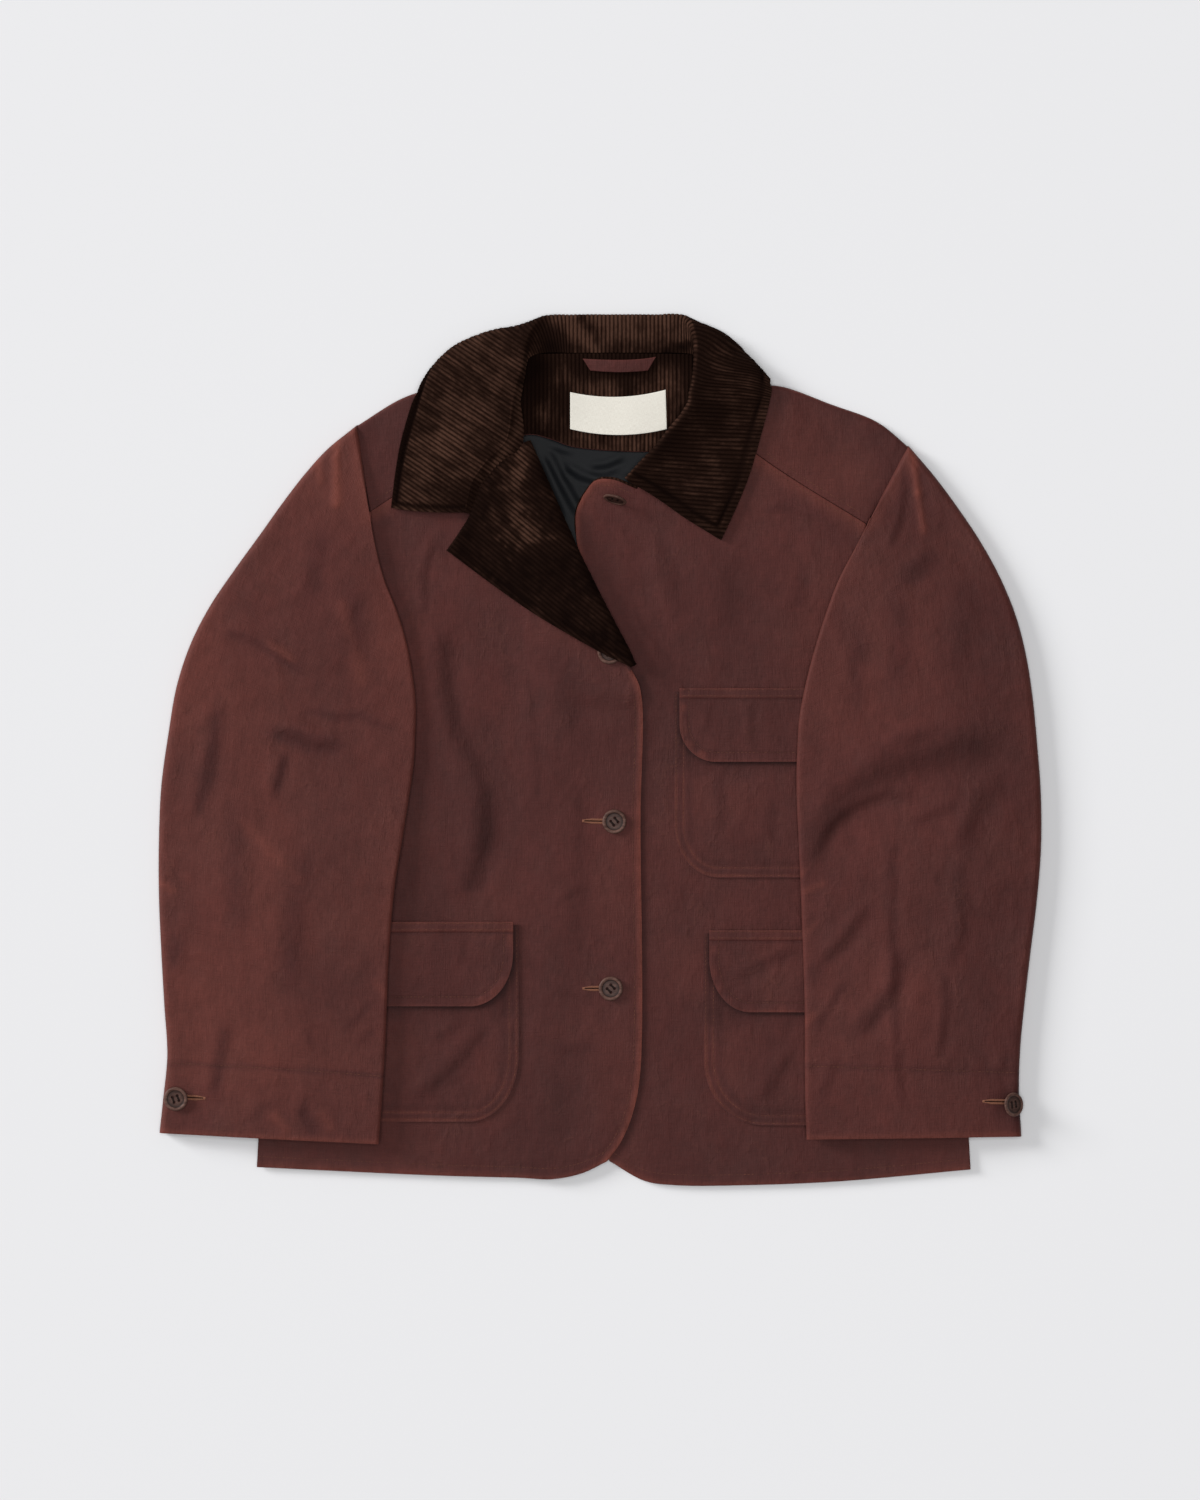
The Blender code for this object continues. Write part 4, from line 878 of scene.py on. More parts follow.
rim_edge = spline([(-16, 168), (-21, 184), (-20.5, 202), (-14, 215.5), (-3, 227.5), (10, 229), (32, 221)],
                  np.linspace(0, 1, 90))
rim_inner = spline([(0, 164), (-5, 184), (-4, 198), (0, 206), (4, 212), (12, 216), (30, 209)],
                   np.linspace(0, 1, 90))
rim_t = np.linspace(0, 1, 8)[:, None, None]
rim_plan = rim_edge[None] * (1 - rim_t) + rim_inner[None] * rim_t
rim_x, rim_y = rim_plan[..., 0], rim_plan[..., 1]
rim_grid = raised(rim_plan, front_base(rim_x, rim_y) - SEAM)
left_facing = cloth("front_left_facing_cloth", [(rim_grid, rim_plan, 0 * rim_x - 0.2)], 1.4, 1.0, CORDUROY)
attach(left_facing, "root")
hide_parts("front_left_facing")

# ------------------------------------------------------------------ Collar
# Two layers of corduroy and a canvas sewn together: a stand that rises from the neck seam,
# turns over at the crest and falls as the leaf. It is stitched 5 to 9 mm inside its outer edges.
COLLAR = np.array([
    # seam x, y, z           crest x, y, z         fall x, y, z          bend x, y, z          edge x, y, z
    -107.5, 198.0, 10.4, -113, 199, 12.0, -131, 199, 10.8, -154, 200, 9.8, -175, 203, 9.0,
    -98.7, 222.6, 14.4, -107, 224.5, 16.8, -126, 226, 13.8, -149, 229, 11.0, -171.5, 232, 9.0,
    -81.5, 241.4, 16.4, -92, 245, 19.8, -117, 248, 16.6, -142, 252, 12.6, -167.5, 255, 9.2,
    -66.3, 254.2, 16.8, -79, 258, 21.2, -109, 264, 18.4, -136, 270, 13.8, -162.5, 274, 10.4,
    -65.0, 272, 13.4, -75, 276, 21.2, -105, 284, 19.0, -132, 291, 15.0, -157, 291, 11.8,
    -68.0, 291, 12.8, -73, 296, 21.0, -100, 306, 19.0, -129, 313, 15.4, -152, 301, 11.8,
    -66.0, 303, 12.4, -70, 308, 20.0, -97, 322, 17.8, -126, 331, 12.4, -142.5, 317.5, 7.2,
    -64.0, 315, 11.4, -66, 322, 18.4, -90, 336, 15.0, -114.5, 341.5, 8.4, -129, 329, 3.8,
    -60.5, 328, 10.2, -61, 345, 15.0, -74, 352.5, 10.6, -95, 348, 4.6, -104, 330, 1.7,
    -48.0, 332.8, 8.6, -49, 361.5, 8.4, -59, 356, 4.0, -56, 330, 1.5, -62, 302, 1.5,
    -25.0, 333, 7.7, -27, 363.7, 4.8, -28, 350, 1.5, -29, 325, 1.5, -30, 300, 1.5,
    11.0, 333, 7.7, 11, 363.9, 4.6, 11, 350, 1.5, 11, 325, 1.5, 11, 299, 1.5,
    47.0, 333, 7.7, 49, 363.9, 4.8, 50, 350, 1.5, 51, 325, 1.5, 51, 300, 1.5,
    68.0, 332.8, 8.6, 71, 362.5, 8.4, 81, 356, 4.0, 80, 330, 1.5, 83, 302, 1.5,
    80.5, 330.5, 10.2, 79.5, 347, 15.4, 92, 353, 10.6, 108, 342.5, 4.2, 112, 302, 1.5,
    86.5, 321, 12.0, 80, 325, 19.2, 103, 335, 15.0, 123, 331, 6.0, 129, 318, 2.4,
    88.0, 306, 12.6, 78, 307, 21.0, 105, 318, 18.0, 130, 321, 12.4, 139.5, 312.5, 6.2,
    87.0, 298, 12.6, 76, 299, 21.4, 101, 308, 19.0, 126, 312, 15.4, 143.5, 303, 12.4,
    85.0, 291, 12.6, 75, 291, 21.4, 99, 299, 19.4, 123, 302, 16.0, 142.5, 295, 12.8,
    79.0, 276, 12.2, 67, 278, 21.0, 91, 284, 18.8, 115, 286, 15.0, 139.5, 281, 11.8,
    69.5, 261, 11.4, 56, 265, 20.0, 82, 266, 17.6, 107, 263, 13.4, 133, 257, 10.2,
    58.5, 248, 10.6, 46, 252, 18.0, 73, 248, 15.8, 99, 240, 12.4, 125, 230, 9.4,
    47.0, 233, 9.6, 34, 240, 15.6, 61, 230.5, 15.0, 88, 218, 12.4, 114, 203, 9.2,
    38.0, 221.5, 9.0, 22, 227, 12.6, 45, 212.5, 14.0, 74, 192.5, 12.0, 101.5, 176, 9.2,
]).reshape(-1, 5, 3)
COLLAR_WALL = 3.0
CREST_RADIUS = 2.9
LEAF_FLOOR = COLLAR_WALL / 2 + 0.2      # lowest middle of the wall
LEAF_PLACES = np.array([0.17, 0.33, 0.5, 0.67, 0.84, 1.0])      # from the crest to the leaf's edge
CREST_ROW, STAND_ROW, LEAF_ROW = 12, 9, 17     # rows of the collar's grid, from the neck seam out
SHOULDER_TOP = 2 * WAX + GAP_SHOULDER
# Way across the wales along the collar: row of the table, degrees.
WALE_WAYS = [(0, 56), (8, 56), (10, 0), (12.5, 0), (14.6, -120), (15.4, -116), (16.6, -105), (18.4, -94),
             (20, -92), (23, -97)]


def leaf_height(p):
    """Height of the leaf's middle, kept clear of the floor and of the shoulder it lies on or under."""
    x, y, z = p
    table = SHOULDER_RIGHT if x < 0 else SHOULDER_LEFT[::-1]
    inside = table[0][0] <= x <= table[-1][0]
    shoulder = np.interp(x, [q[0] for q in table], [q[1] for q in table]) if inside else NECK_Y
    beyond = y - shoulder
    up = lift(x, y)
    if z > up + SHOULDER_TOP / 2:
        return max(z, up + SHOULDER_TOP + COLLAR_WALL / 2 + 3 * SEAM) if beyond < 4.0 else z
    return LEAF_FLOOR if beyond < 5.0 and abs(x) < 136 else max(z, LEAF_FLOOR)


def collar_section(s):
    """Middle of the wall from the seam over the rounded crest to the leaf's outer edge."""
    seam, crest, fall, bend, edge = spline(COLLAR, np.array([s]))[0]
    along = spline(COLLAR[:, 1], min(1.0, s + 0.01)) - spline(COLLAR[:, 1], max(0.0, s - 0.01))
    along = unit(along)
    ways = [unit(target - crest - along * ((target - crest) @ along)) for target in (seam, fall)]
    inward = unit(ways[0] + ways[1])
    first, last = (unit(way * (way @ inward) - inward) for way in ways)
    middle = crest + inward * CREST_RADIUS
    arc = []
    for way in (first, first - inward, -inward, last - inward, last):
        p = middle + unit(way) * CREST_RADIUS
        arc.append([p[0], p[1], max(p[2], LEAF_FLOOR)])
    leaf = [(p[0], p[1], leaf_height(p)) for p in spline([arc[-1], fall, bend, edge], LEAF_PLACES)]
    return np.array([seam, (seam + arc[0]) / 2] + arc + leaf)


sections = np.array([collar_section(s) for s in np.linspace(0, 1, 2 * len(COLLAR) - 1)])
collar_s = np.linspace(0, 1, 420)
sections = spline(sections, collar_s)
places = np.concatenate([np.linspace(0, 1.8, 6), np.linspace(2, 6, 13), np.linspace(6.4, 11, 18),
                         np.linspace(11.25, 12, 5)]) / 12
collar_grid = spline(sections.transpose(1, 0, 2), places)
crest_line = collar_grid[CREST_ROW]
row_at = collar_s * (len(COLLAR) - 1)
way = np.radians(np.interp(row_at, *zip(*WALE_WAYS)))
over_wales = np.stack([np.cos(way), np.sin(way)], axis=1)
step = np.diff(crest_line[:, :2], axis=0)
middle_way = (over_wales[1:] + over_wales[:-1]) / 2
run = np.concatenate([[0.0], np.cumsum(np.maximum((step * middle_way).sum(axis=1), 0.0))])
collar_wale = run[None] + ((collar_grid - crest_line)[..., :2] * over_wales[None]).sum(axis=2)
first, last = np.searchsorted(row_at, (12.5, 15.0))      # the leaf fans out unseen behind the neck
blend = np.linspace(0, 1, last - first + 1)
collar_wale[:, first:last + 1] = collar_wale[:, first, None] * (1 - blend) \
    + collar_wale[:, last, None] * blend
collar_step = np.linalg.norm(np.diff(collar_grid, axis=1), axis=2)
for k in range(1, len(collar_s)):
    least = collar_wale[:, k - 1] + 0.12 * collar_step[:, k - 1] + 1e-4
    collar_wale[:, k] = np.maximum(collar_wale[:, k], least)
cx, cy = collar_grid[..., 0], collar_grid[..., 1]
on_leaf = ease(LEAF_ROW - 3, LEAF_ROW, np.arange(len(places)))[:, None] * np.ones_like(cx)
down = np.linalg.norm(np.diff(collar_grid, axis=0), axis=2)[::-1].cumsum(axis=0)[::-1]
rim = np.vstack([down, np.zeros((1, len(collar_s)))])
rim_end = np.minimum(distance(collar_grid[CREST_ROW:, 0], cx, cy),
                     distance(collar_grid[CREST_ROW:, -1], cx, cy))
at_end = ease(-2, 2, rim - rim_end)
rim = np.minimum(rim, rim_end)
band_in = np.interp(cx, [-20, 20], [4.6, 8.6])
stitched = near(rim - band_in, 1.2) * on_leaf
band = ease(band_in + 0.8, band_in - 0.8, rim) * on_leaf
relief = COLLAR_WALL / 2 - 0.9 * stitched + band * (0.1 + 0.25 * waver(collar_wale, rim, 9, 71)) \
    + 0.35 * (1 - band) * on_leaf * waver(cx, cy, 28, 73)
collar_outer = collar_grid + facing_of(collar_grid) * relief[..., None]
from_crest = np.linalg.norm(collar_grid - crest_line, axis=2)
stand = ease(CREST_ROW + 1, STAND_ROW, np.arange(len(places)))[:, None] * np.ones_like(cx)
at_back = ease(8.2, 9.6, row_at) * ease(14.4, 13.2, row_at)
# Painted light and shade on the collar: shade in the stitched groove, by the crest, on the stand's sides
# and low on the back stand; a painted sheen high on the back stand and along a diagonal; painted shade in
# the back stand's folds; lighter along a strip by the lapel.
collar_sheen_path = distance([(-29, 366), (-19, 350), (-3, 334)], cx, cy)
by_lapel = distance([(-86, 240), (-70, 268), (-68, 300)], cx, cy)
stand_fold_shade = near(distance([(-52, 358), (-44, 340)], cx, cy), 13) \
    + 0.8 * near(distance([(-15, 362), (-8, 352)], cx, cy), 5) \
    + 0.9 * near(distance([(54, 333), (80, 341)], cx, cy), 2.5)
collar_tone = -0.1 * on_leaf + 0.2 * waver(cx, cy, 22, 75) - 0.8 * stitched \
    - np.interp(cx, [-20, 20], [0.6, -0.1]) * band * (1 - at_end) - 0.1 * band * at_end \
    - 0.3 * on_leaf * ease(-20, 20, cx) - 0.2 * near(from_crest, 11) * (1 - at_back) \
    - 0.15 * stand * (1 - at_back) - at_back * 0.35 * ease(349, 336, cy) \
    + at_back * 0.3 * ease(352, 362, cy) + (0.7 * near(collar_sheen_path, 4) - 0.8 * stand_fold_shade) * at_back \
    + 0.5 * near(by_lapel, 4)
collar = corduroy_shell("collar_cloth", collar_outer, collar_wale, COLLAR_WALL, collar_tone,
                        1 - 0.6 * stitched)
rest_flat(collar)
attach(collar, "root")
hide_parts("collar")

# ------------------------------------------------------------------ Label and hanger loop
# A bare woven cotton label, sewn to the neck facing at both ends, and above it a hanger loop
# made of a folded strip of the waxed cotton with its ends slanting up.
woven = Finish("label_weave", 0.85, sheen_weight=0.1)
label_cut = woven.cut()
label_threads = woven.noise(label_cut, (400.0, 3600.0, 1.0), 1.0) \
    + woven.noise(label_cut, (3600.0, 400.0, 1.0), 1.0)
woven.feed("Base Color", woven.mix((label_threads - 0.5).clipped(), (0.66, 0.62, 0.54), (0.88, 0.85, 0.77)))
woven.bump(label_threads * 0.00012, 1.0)
LABEL_LOW, LABEL_HIGH = ((-25.0, 269.0), (56.0, 269.0)), ((-25.0, 300.0), (55.0, 302.0))
LABEL_SAG = 5.0
ON_FACING = COLLAR_LIFT + WAX + CORD + LIE + 2 * SEAM
lu, lv = np.meshgrid(np.linspace(0, 1, 60), np.linspace(0, 1, 26))
low, high = (np.array(start) + (np.array(end) - start) * lu[..., None]
             for start, end in (LABEL_LOW, LABEL_HIGH))
label_plan = low * (1 - lv[..., None]) + high * lv[..., None]
label_plan[..., 1] -= LABEL_SAG * 4 * lu * (1 - lu)
label_z = ON_FACING + 0.5 * waver(lu * 30, lv * 12, 9, 81) * np.sin(math.pi * lu) + 0.1
label = cloth("label_cloth", [(raised(label_plan, label_z), label_plan, 0 * lu)], 0.6, 1.0, woven.material)
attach(label, "root")
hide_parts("label")

loop_u, loop_v = np.meshgrid(np.linspace(0, 1, 60), np.linspace(0, 1, 12))
loop_low = np.stack([-8 + 48 * loop_u, 318 - 1.5 * np.sin(math.pi * loop_u)], axis=-1)
loop_top = 328 - 1.2 * np.sin(math.pi * loop_u) + 1.6 * loop_u ** 6
loop_high = np.stack([-14.5 + 61.5 * loop_u, loop_top], axis=-1)
loop_plan = loop_low * (1 - loop_v[..., None]) + loop_high * loop_v[..., None]
loop_z = ON_FACING + 1.4 * np.sin(math.pi * loop_u) + 0.25 * near(loop_v - 0.5, 0.3)
loop_tone = 0.25 * near(loop_v - 1, 0.16) - 0.12
loop = cloth("hanger_loop_cloth", [(raised(loop_plan, loop_z), loop_plan, loop_tone)], 1.2, 1.0, WAXED)
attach(loop, "root")
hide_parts("hanger_loop")

# ------------------------------------------------------------------ Sleeves
# Each sleeve is two panels: the upper one wraps round both folded edges and turns under, the
# lower one closes it against the body and the table. The cuffs are turned in and stitched.
SLEEVE_WALL = 1.7
SLEEVE_HEIGHT = 2 * SLEEVE_WALL + 3.2
UNDER_TURN = 14.0      # the top panel turns under by this
FLOOR_RAMP = 30.0      # a sleeve comes down from the body to the table in this much
OUTER_RADIUS = 5.4     # of the fold beyond the body, where the sleeve stands off the table
POCKET_STACK = 4.2     # a pocket and its flap lift the sleeve by this
HEAD_ROLL = 4.4        # the sleeve head turns down to the armhole seam in this much
HEAD_ROWS, TOP_COLUMNS = 5, 66
HIGHEST, DEEPEST = 4.0, 2.6      # no fold rises or dips further than this
# Where each sleeve lies on the body: y, x of the body's edge under it.
SUPPORT_LEFT = [(-352, 319), (75, 296), (95, 272), (125, 246), (160, 232), (190, 228), (210, 218),
                (252, 210), (300, 206)]
SUPPORT_RIGHT = [(-352, -296), (78, -270), (92, -238), (120, -207), (165, -196), (195, -196),
                 (230, -186), (269, -177), (300, -172)]
# Stations from the armhole seam to the cuff: outer x, y, inner x, y.
SLEEVE_LEFT = [
    (261.5, 252, 224.5, 190), (281, 229, 212, 166), (301, 202, 200, 143), (319, 175, 190, 117),
    (335, 146, 181, 89), (348, 115, 173, 59), (356.5, 84, 167, 29), (362.5, 48, 165, -1),
    (366.5, 8, 164.5, -33), (369.8, -36, 166, -73), (370, -82, 168, -116), (366.5, -126, 169.5, -158),
    (361, -171, 171, -200), (356, -214, 171.5, -240), (352.5, -251, 171.5, -272),
    (351.5, -286, 172, -299), (353.5, -324, 173, -326),
]
SLEEVE_RIGHT = [
    (-207, 270, -192.5, 195), (-229, 252, -187, 168), (-248, 231, -180, 142), (-265, 209, -170, 117),
    (-285, 181, -162, 91), (-306, 152, -157, 65), (-327, 121, -154, 38), (-343, 90, -154.5, 12),
    (-355, 54, -156, -14), (-362, 14, -160, -42), (-368, -30, -165, -74), (-370, -75, -171, -110),
    (-370, -122, -175, -150), (-368, -170, -177.5, -196), (-365.5, -214, -179, -238),
    (-363, -256, -181, -276), (-366.5, -293, -183, -305), (-369.5, -321, -185, -330),
]
SLEEVE_RIGHT_FOLDS = [      # half width, height, path
    (4.5, 1.9, [(-318, 100), (-297, 94), (-278, 84), (-262, 73), (-245, 62)]),
    (5, 1.3, [(-250, 35), (-220, 27), (-201, 29), (-168, 14)]),
    (8, 2.6, [(-286, 16), (-262, 12), (-240, 5), (-208, 2)]),
    (5, 2.1, [(-273, -44), (-268, -20), (-262, 2)]),
    (7, 1.7, [(-340, -60), (-331, -31), (-323, 4), (-320, 46)]),
    (9, 1.5, [(-360, -192), (-352, -148)]), (7, 1.6, [(-325, -300), (-318, -260), (-311, -222)]),
    (3, 0.9, [(-181, -197), (-193, -186)]), (4, 1.3, [(-238, -252), (-248, -230)]),
    (4, 0.9, [(-218, -238), (-204, -226), (-188, -208)]), (3, 0.7, [(-207, -250), (-182, -228)]),
    (14, 1.3, [(-262, -220), (-256, -140), (-244, -70)]), (12, 1.2, [(-212, 60), (-204, 100), (-208, 150)]),
    (13, 1.2, [(-300, -170), (-306, -90), (-300, -30)]), (1.6, 0.9, [(-363, -324), (-361.6, -262)]),
    (10, 1.2, [(-244, 110), (-240, 150), (-226, 196)]), (5, 0.9, [(-250, -312), (-246, -286)]),
    (5, 0.8, [(-292, -316), (-284, -300), (-262, -292)]),
]
SLEEVE_LEFT_FOLDS = [       # half width, height, path
    (3.6, 1.5, [(241, 166), (252, 192), (255, 219), (253, 248)]),
    (9, 1.9, [(244, 140), (262, 148), (290, 168)]),
    (17, 3.2, [(168, -112), (182, -72), (205, -42), (240, -16), (290, -2), (356, 10)]),
    (5, 1.9, [(168, -120), (179, -88), (195, -62), (213, -48), (241, -37), (266, -40)]),
    (6, 1.3, [(236, -4), (252, 9), (290, 17)]), (5, 1.3, [(258, -64), (276, -55), (308, -42)]),
    (9, 1.8, [(303, -96), (312, -60), (322, -40), (348, -22)]),
    (6, 1.9, [(170, -199), (184, -180), (206, -158), (228, -128)]),
    (4, 1.4, [(178, -238), (192, -215), (208, -191)]),
    (7, 2.1, [(208, -242), (231, -222), (249, -195), (252, -160)]),
    (5, 1.1, [(184, -298), (192, -274), (201, -254)]),
    (4.5, 1.2, [(249, -252), (246, -200), (245, -140), (244, -74)]),
    (4, 1.1, [(253, -300), (247, -246)]), (4, 1.5, [(284, -260), (291, -212), (289, -184)]),
    (6, 1.1, [(291, -186), (304, -152), (301, -86)]), (3, 0.8, [(256, -169), (282, -160)]),
    (5, 1.3, [(332, -284), (343, -257), (350, -228)]), (12, 1.1, [(250, 40), (252, 90), (249, 146)]),
    (10, 0.9, [(300, 60), (310, 110), (306, 150)]), (9, 0.9, [(216, 20), (214, 70), (222, 110)]),
]
RIGHT_SLEEVE_CREASES = [   # x0, y0, x1, y1, half width, height
    (-221, 258, -220, 206, 4.0, 1.1), (-237, 243, -234, 224, 3.5, 0.7), (-276, 88, -258, 76, 3.5, 0.6),
    (-371, -110, -358, -118, 3.0, 0.7), (-187, -194, -178, -206, 3.0, 0.5),
    (-272, -306, -262, -318, 4.0, 0.6), (-248, -304, -240, -318, 4.0, -0.5),
    (-232, -304, -226, -316, 4.0, 0.5), (-215, 120, -200, 60, 6.0, 0.5),
    (-300, -60, -250, -110, 5.0, 0.35),
]
LEFT_SLEEVE_CREASES = [    # x0, y0, x1, y1, half width, height
    (262, 249, 266, 215, 3.2, 1.1), (266, 215, 271, 184, 3.2, 0.8), (170, -104, 176, -96, 3.0, 0.6),
    (351, -297, 352, -298, 13.0, -3.4), (172, -118, 186, -112, 2.6, 0.6),
    (172, -228, 178, -222, 3.0, 0.5), (172, -154, 180, -146, 3.0, 0.4),
]


def folds(table, x, y):
    """Height that a table of folds (x0, y0, x1, y1, half width, height) adds."""
    total = np.zeros_like(x)
    for x0, y0, x1, y1, width, height in table:
        total += height * near(from_segment(x, y, (x0, y0), (x1, y1))[0], width)
    return total


def sleeve_base(side, x, y):
    """Underside of a sleeve: on the front and its pockets, and beyond the body on the floor."""
    body_x = np.interp(y, *zip(*(SUPPORT_LEFT if side > 0 else SUPPORT_RIGHT)))
    return sleeve_level(side, x, y) * ease(FLOOR_RAMP, 0, side * (x - body_x))


def sleeve_level(side, x, y):
    """Underside of a sleeve where it lies on a front, raised over the front's pockets."""
    pocket = ease(176, 76, y) if side > 0 else ease(-18, -122, y)
    return front_base(x, y) + WAX + LIE + POCKET_STACK * pocket


def sleeve_top(side, x, y, off):
    """Top of a sleeve at a distance from the start of its outer fold."""
    high = sleeve_level(side, x, y) + SLEEVE_HEIGHT
    return 2 * OUTER_RADIUS + (high - 2 * OUTER_RADIUS) * ease(-8, 80, off)


def folded_edge(side, corner, inward, radius):
    """The folded edge of a sleeve, from its turned-under end up to the top."""
    middle = corner + inward * radius
    made = []
    for back in (1.0, 0.75, 0.5, 0.25):
        foot = middle + inward * UNDER_TURN * back
        made.append(raised(foot, sleeve_base(side, foot[:, 0], foot[:, 1])))
    base = sleeve_base(side, middle[:, 0], middle[:, 1])
    if radius == OUTER_RADIUS:
        radius = sleeve_top(side, middle[:, 0], middle[:, 1], 0.0) / 2
        middle = corner + inward * radius[:, None]
    for angle in np.linspace(0, math.pi, 9):
        p = middle - inward * np.reshape(radius, (-1, 1)) * math.sin(angle)
        made.append(raised(p, base + radius * (1 - math.cos(angle))))
    return made


def head_rows(side, grid):
    """Rows that carry the sleeve head down to the armhole seam."""
    head = grid[0]
    back = grid[0] - grid[3]
    back[:, 2] = 0.0
    base = sleeve_base(side, head[:, 0], head[:, 1])
    place = np.arange(len(head)) / (len(head) - 1)
    at_edges = np.maximum(ease(0.34, 0.26, place), ease(0.66, 0.74, place))
    low = base + (SLEEVE_WALL + 0.15 + (SLEEVE_WALL + 0.1) * at_edges)
    rows = []
    for k in range(HEAD_ROWS, 0, -1):
        angle = math.pi / 2 * k / HEAD_ROWS
        p = head + unit(back) * HEAD_ROLL * math.sin(angle)
        turned_down = low + (head[:, 2] - low) * math.cos(angle)
        p[:, 2] = np.where(head[:, 2] > low, turned_down, head[:, 2])
        rows.append(p)
    return np.stack(rows)


def make_sleeve(side, name, stations, table, creases, cuff_line):
    """Both panels of a sleeve; side is 1 on the wearer's left and -1 on the right."""
    stations = np.array(stations, float)
    s = np.linspace(0, 1, 190)
    outer, inner = spline(stations[:, :2], s), spline(stations[:, 2:], s)
    across = unit(inner - outer)
    first = folded_edge(side, outer, across, OUTER_RADIUS)
    second = folded_edge(side, inner, -across, SLEEVE_HEIGHT / 2)
    start, end = first[-1][:, :2], second[-1][:, :2]
    columns = []
    for t in np.arange(1, TOP_COLUMNS) / TOP_COLUMNS:
        p = start + (end - start) * t
        x, y = p[:, 0], p[:, 1]
        calm = ease(0.0, 0.12, t) * ease(1.0, 0.88, t) * ease(0.0, 0.08, s)
        bend = np.clip(bends(table, x, y)[0], -DEEPEST, HIGHEST) \
            + 1.2 * rumple(x, y, 91 if side > 0 else 95)
        fine = folds(creases, x, y) * ease(0.0, 0.06, t) * ease(1.0, 0.94, t)
        groove, _ = stitched_edge(cuff_line, x, y, 0.0, 0.4)
        top = sleeve_top(side, x, y, np.linalg.norm(p - start, axis=1))
        columns.append(raised(p, top + np.maximum(bend * calm + fine, -DEEPEST) + groove))
    grid = np.stack(first + columns + second[::-1], axis=1)
    grid = np.concatenate([head_rows(side, grid), grid])
    outer, inner = (np.concatenate([np.repeat(path[:1], HEAD_ROWS, axis=0), path])
                    for path in (outer, inner))
    x, y = grid[..., 0], grid[..., 1]
    rim = np.minimum(np.linalg.norm(grid[..., :2] - outer[:, None], axis=2),
                     np.linalg.norm(grid[..., :2] - inner[:, None], axis=2))
    cuff = distance([stations[-1, :2], stations[-1, 2:]], x, y)
    head = distance([stations[0, :2], stations[0, 2:]], x, y)
    # Painted shade: darker along the fold lines, in the cuff's stitched groove and where a crease dips;
    # crease ridges, rims, cuff and head are rubbed lighter.
    tone = 0.14 * near(rim, 5) + 0.4 * near(cuff, 3.5) + 0.3 * near(head, 8) \
        + 0.55 * folds(creases, x, y) + 0.16 * waver(x, y, 60, 97) - 0.17 * bends(table, x, y)[1] \
        - 0.3 * near(distance(cuff_line, x, y), 2.0) + (0.07 if side > 0 else 0.24)
    if side < 0:
        grid, tone = grid[:, ::-1], tone[:, ::-1]
    top = cloth(name + "_top_cloth", [(grid, run_lengths(grid), tone)], SLEEVE_WALL, -1.0, WAXED)
    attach(top, "root")
    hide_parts(name + "_top")

    low = start + across * (UNDER_TURN + 3 * LIE)
    high = end - across * (UNDER_TURN + 3 * LIE)
    t = np.linspace(0, 1, 42)[None, :, None]
    strip = low[::2, None] * (1 - t) + high[::2, None] * t
    grid = raised(strip, sleeve_base(side, strip[..., 0], strip[..., 1]))
    if side < 0:
        grid = grid[:, ::-1]
    tone = np.zeros(grid.shape[:2])
    under = cloth(name + "_under_cloth", [(grid, run_lengths(grid), tone)], SLEEVE_WALL, 1.0, WAXED)
    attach(under, "root")
    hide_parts(name + "_under")
    return top


sleeve_left = make_sleeve(1, "sleeve_left", SLEEVE_LEFT, SLEEVE_LEFT_FOLDS, LEFT_SLEEVE_CREASES,
                          [(160, -264), (376, -271)])
sleeve_right = make_sleeve(-1, "sleeve_right", SLEEVE_RIGHT, SLEEVE_RIGHT_FOLDS, RIGHT_SLEEVE_CREASES,
                           [(-380, -262), (-302, -265), (-248, -268), (-170, -274)])

# ------------------------------------------------------------------ Pockets
# Three patch pockets with rounded lower corners, each under a flap whose top is caught down
# by a turned band. A patch is edged with two rows of stitching 6.4 mm apart, a flap with one.
PATCH_WALL = 1.4
FLAP_WALL = 1.6
BAND_UP = 0.4        # the flap's top band stands up by this
BAND_DEPTH = 8.0
FLAP_CURL = 0.8      # its free edges curl up by this much
FLAP_IN = 4.6        # the flap is this much narrower than its pocket at each side
PATCH_ROWS, FLAP_ROWS = (1.8, 8.2), (1.6, 8.0)     # how far in its two stitched lines run
POCKET_FOLDS = [     # half width, height, path
    (7, 1.4, [(-158, -300), (-138, -280), (-112, -256), (-90, -226)]),
    (5, 0.9, [(-146, -248), (-108, -224)]),
    (7, 1.1, [(134, -300), (150, -272), (166, -248)]), (6, 0.9, [(104, -70), (100, -30), (104, -14)]),
    (6, 0.7, [(142, -84), (147, -28)]),
]
FLAP_FOLDS = [       # half width, height, path
    (4, 0.8, [(-116, -186), (-112, -152)]), (5, 1.1, [(108, -194), (140, -178), (168, -167)]),
    (3.5, 0.7, [(91, 12), (91, 44)]), (3.5, 0.7, [(127, 0), (127, 44)]),
]
POCKETS = {   # name: left x, right x, patch bottom, flap top, flap bottom, patch corner, flap corner
    "pocket_right": (-240, -68, -312, -144, -215, (42, 55), (36, 45)),
    "pocket_left": (87, 259, -315, -151, -220, (50, 55), (34, 45)),
    "pocket_chest": (62, 205, -107, 52, -10, (37, 45), (30, 32)),
}


def rounded(left, right, bottom, top, corner):
    """Plan grid of a panel with two rounded lower corners, from its top down, and its outline."""
    wide, high = corner
    plain = np.linspace(top, bottom + high, 40)[:-1]
    angle = np.linspace(0, math.pi / 2, 30)
    y = np.concatenate([plain, bottom + high * (1 - np.sin(angle))])
    inset = np.concatenate([0 * plain, wide * (1 - np.cos(angle))])
    t = np.linspace(0, 1, 72)
    x = (left + inset)[:, None] * (1 - t) + (right - inset)[:, None] * t
    side = np.stack([left + inset, y], axis=1)
    other = np.stack([right - inset, y], axis=1)
    return np.stack([x, y[:, None] + 0 * x], axis=-1), np.vstack([side, other[::-1]])


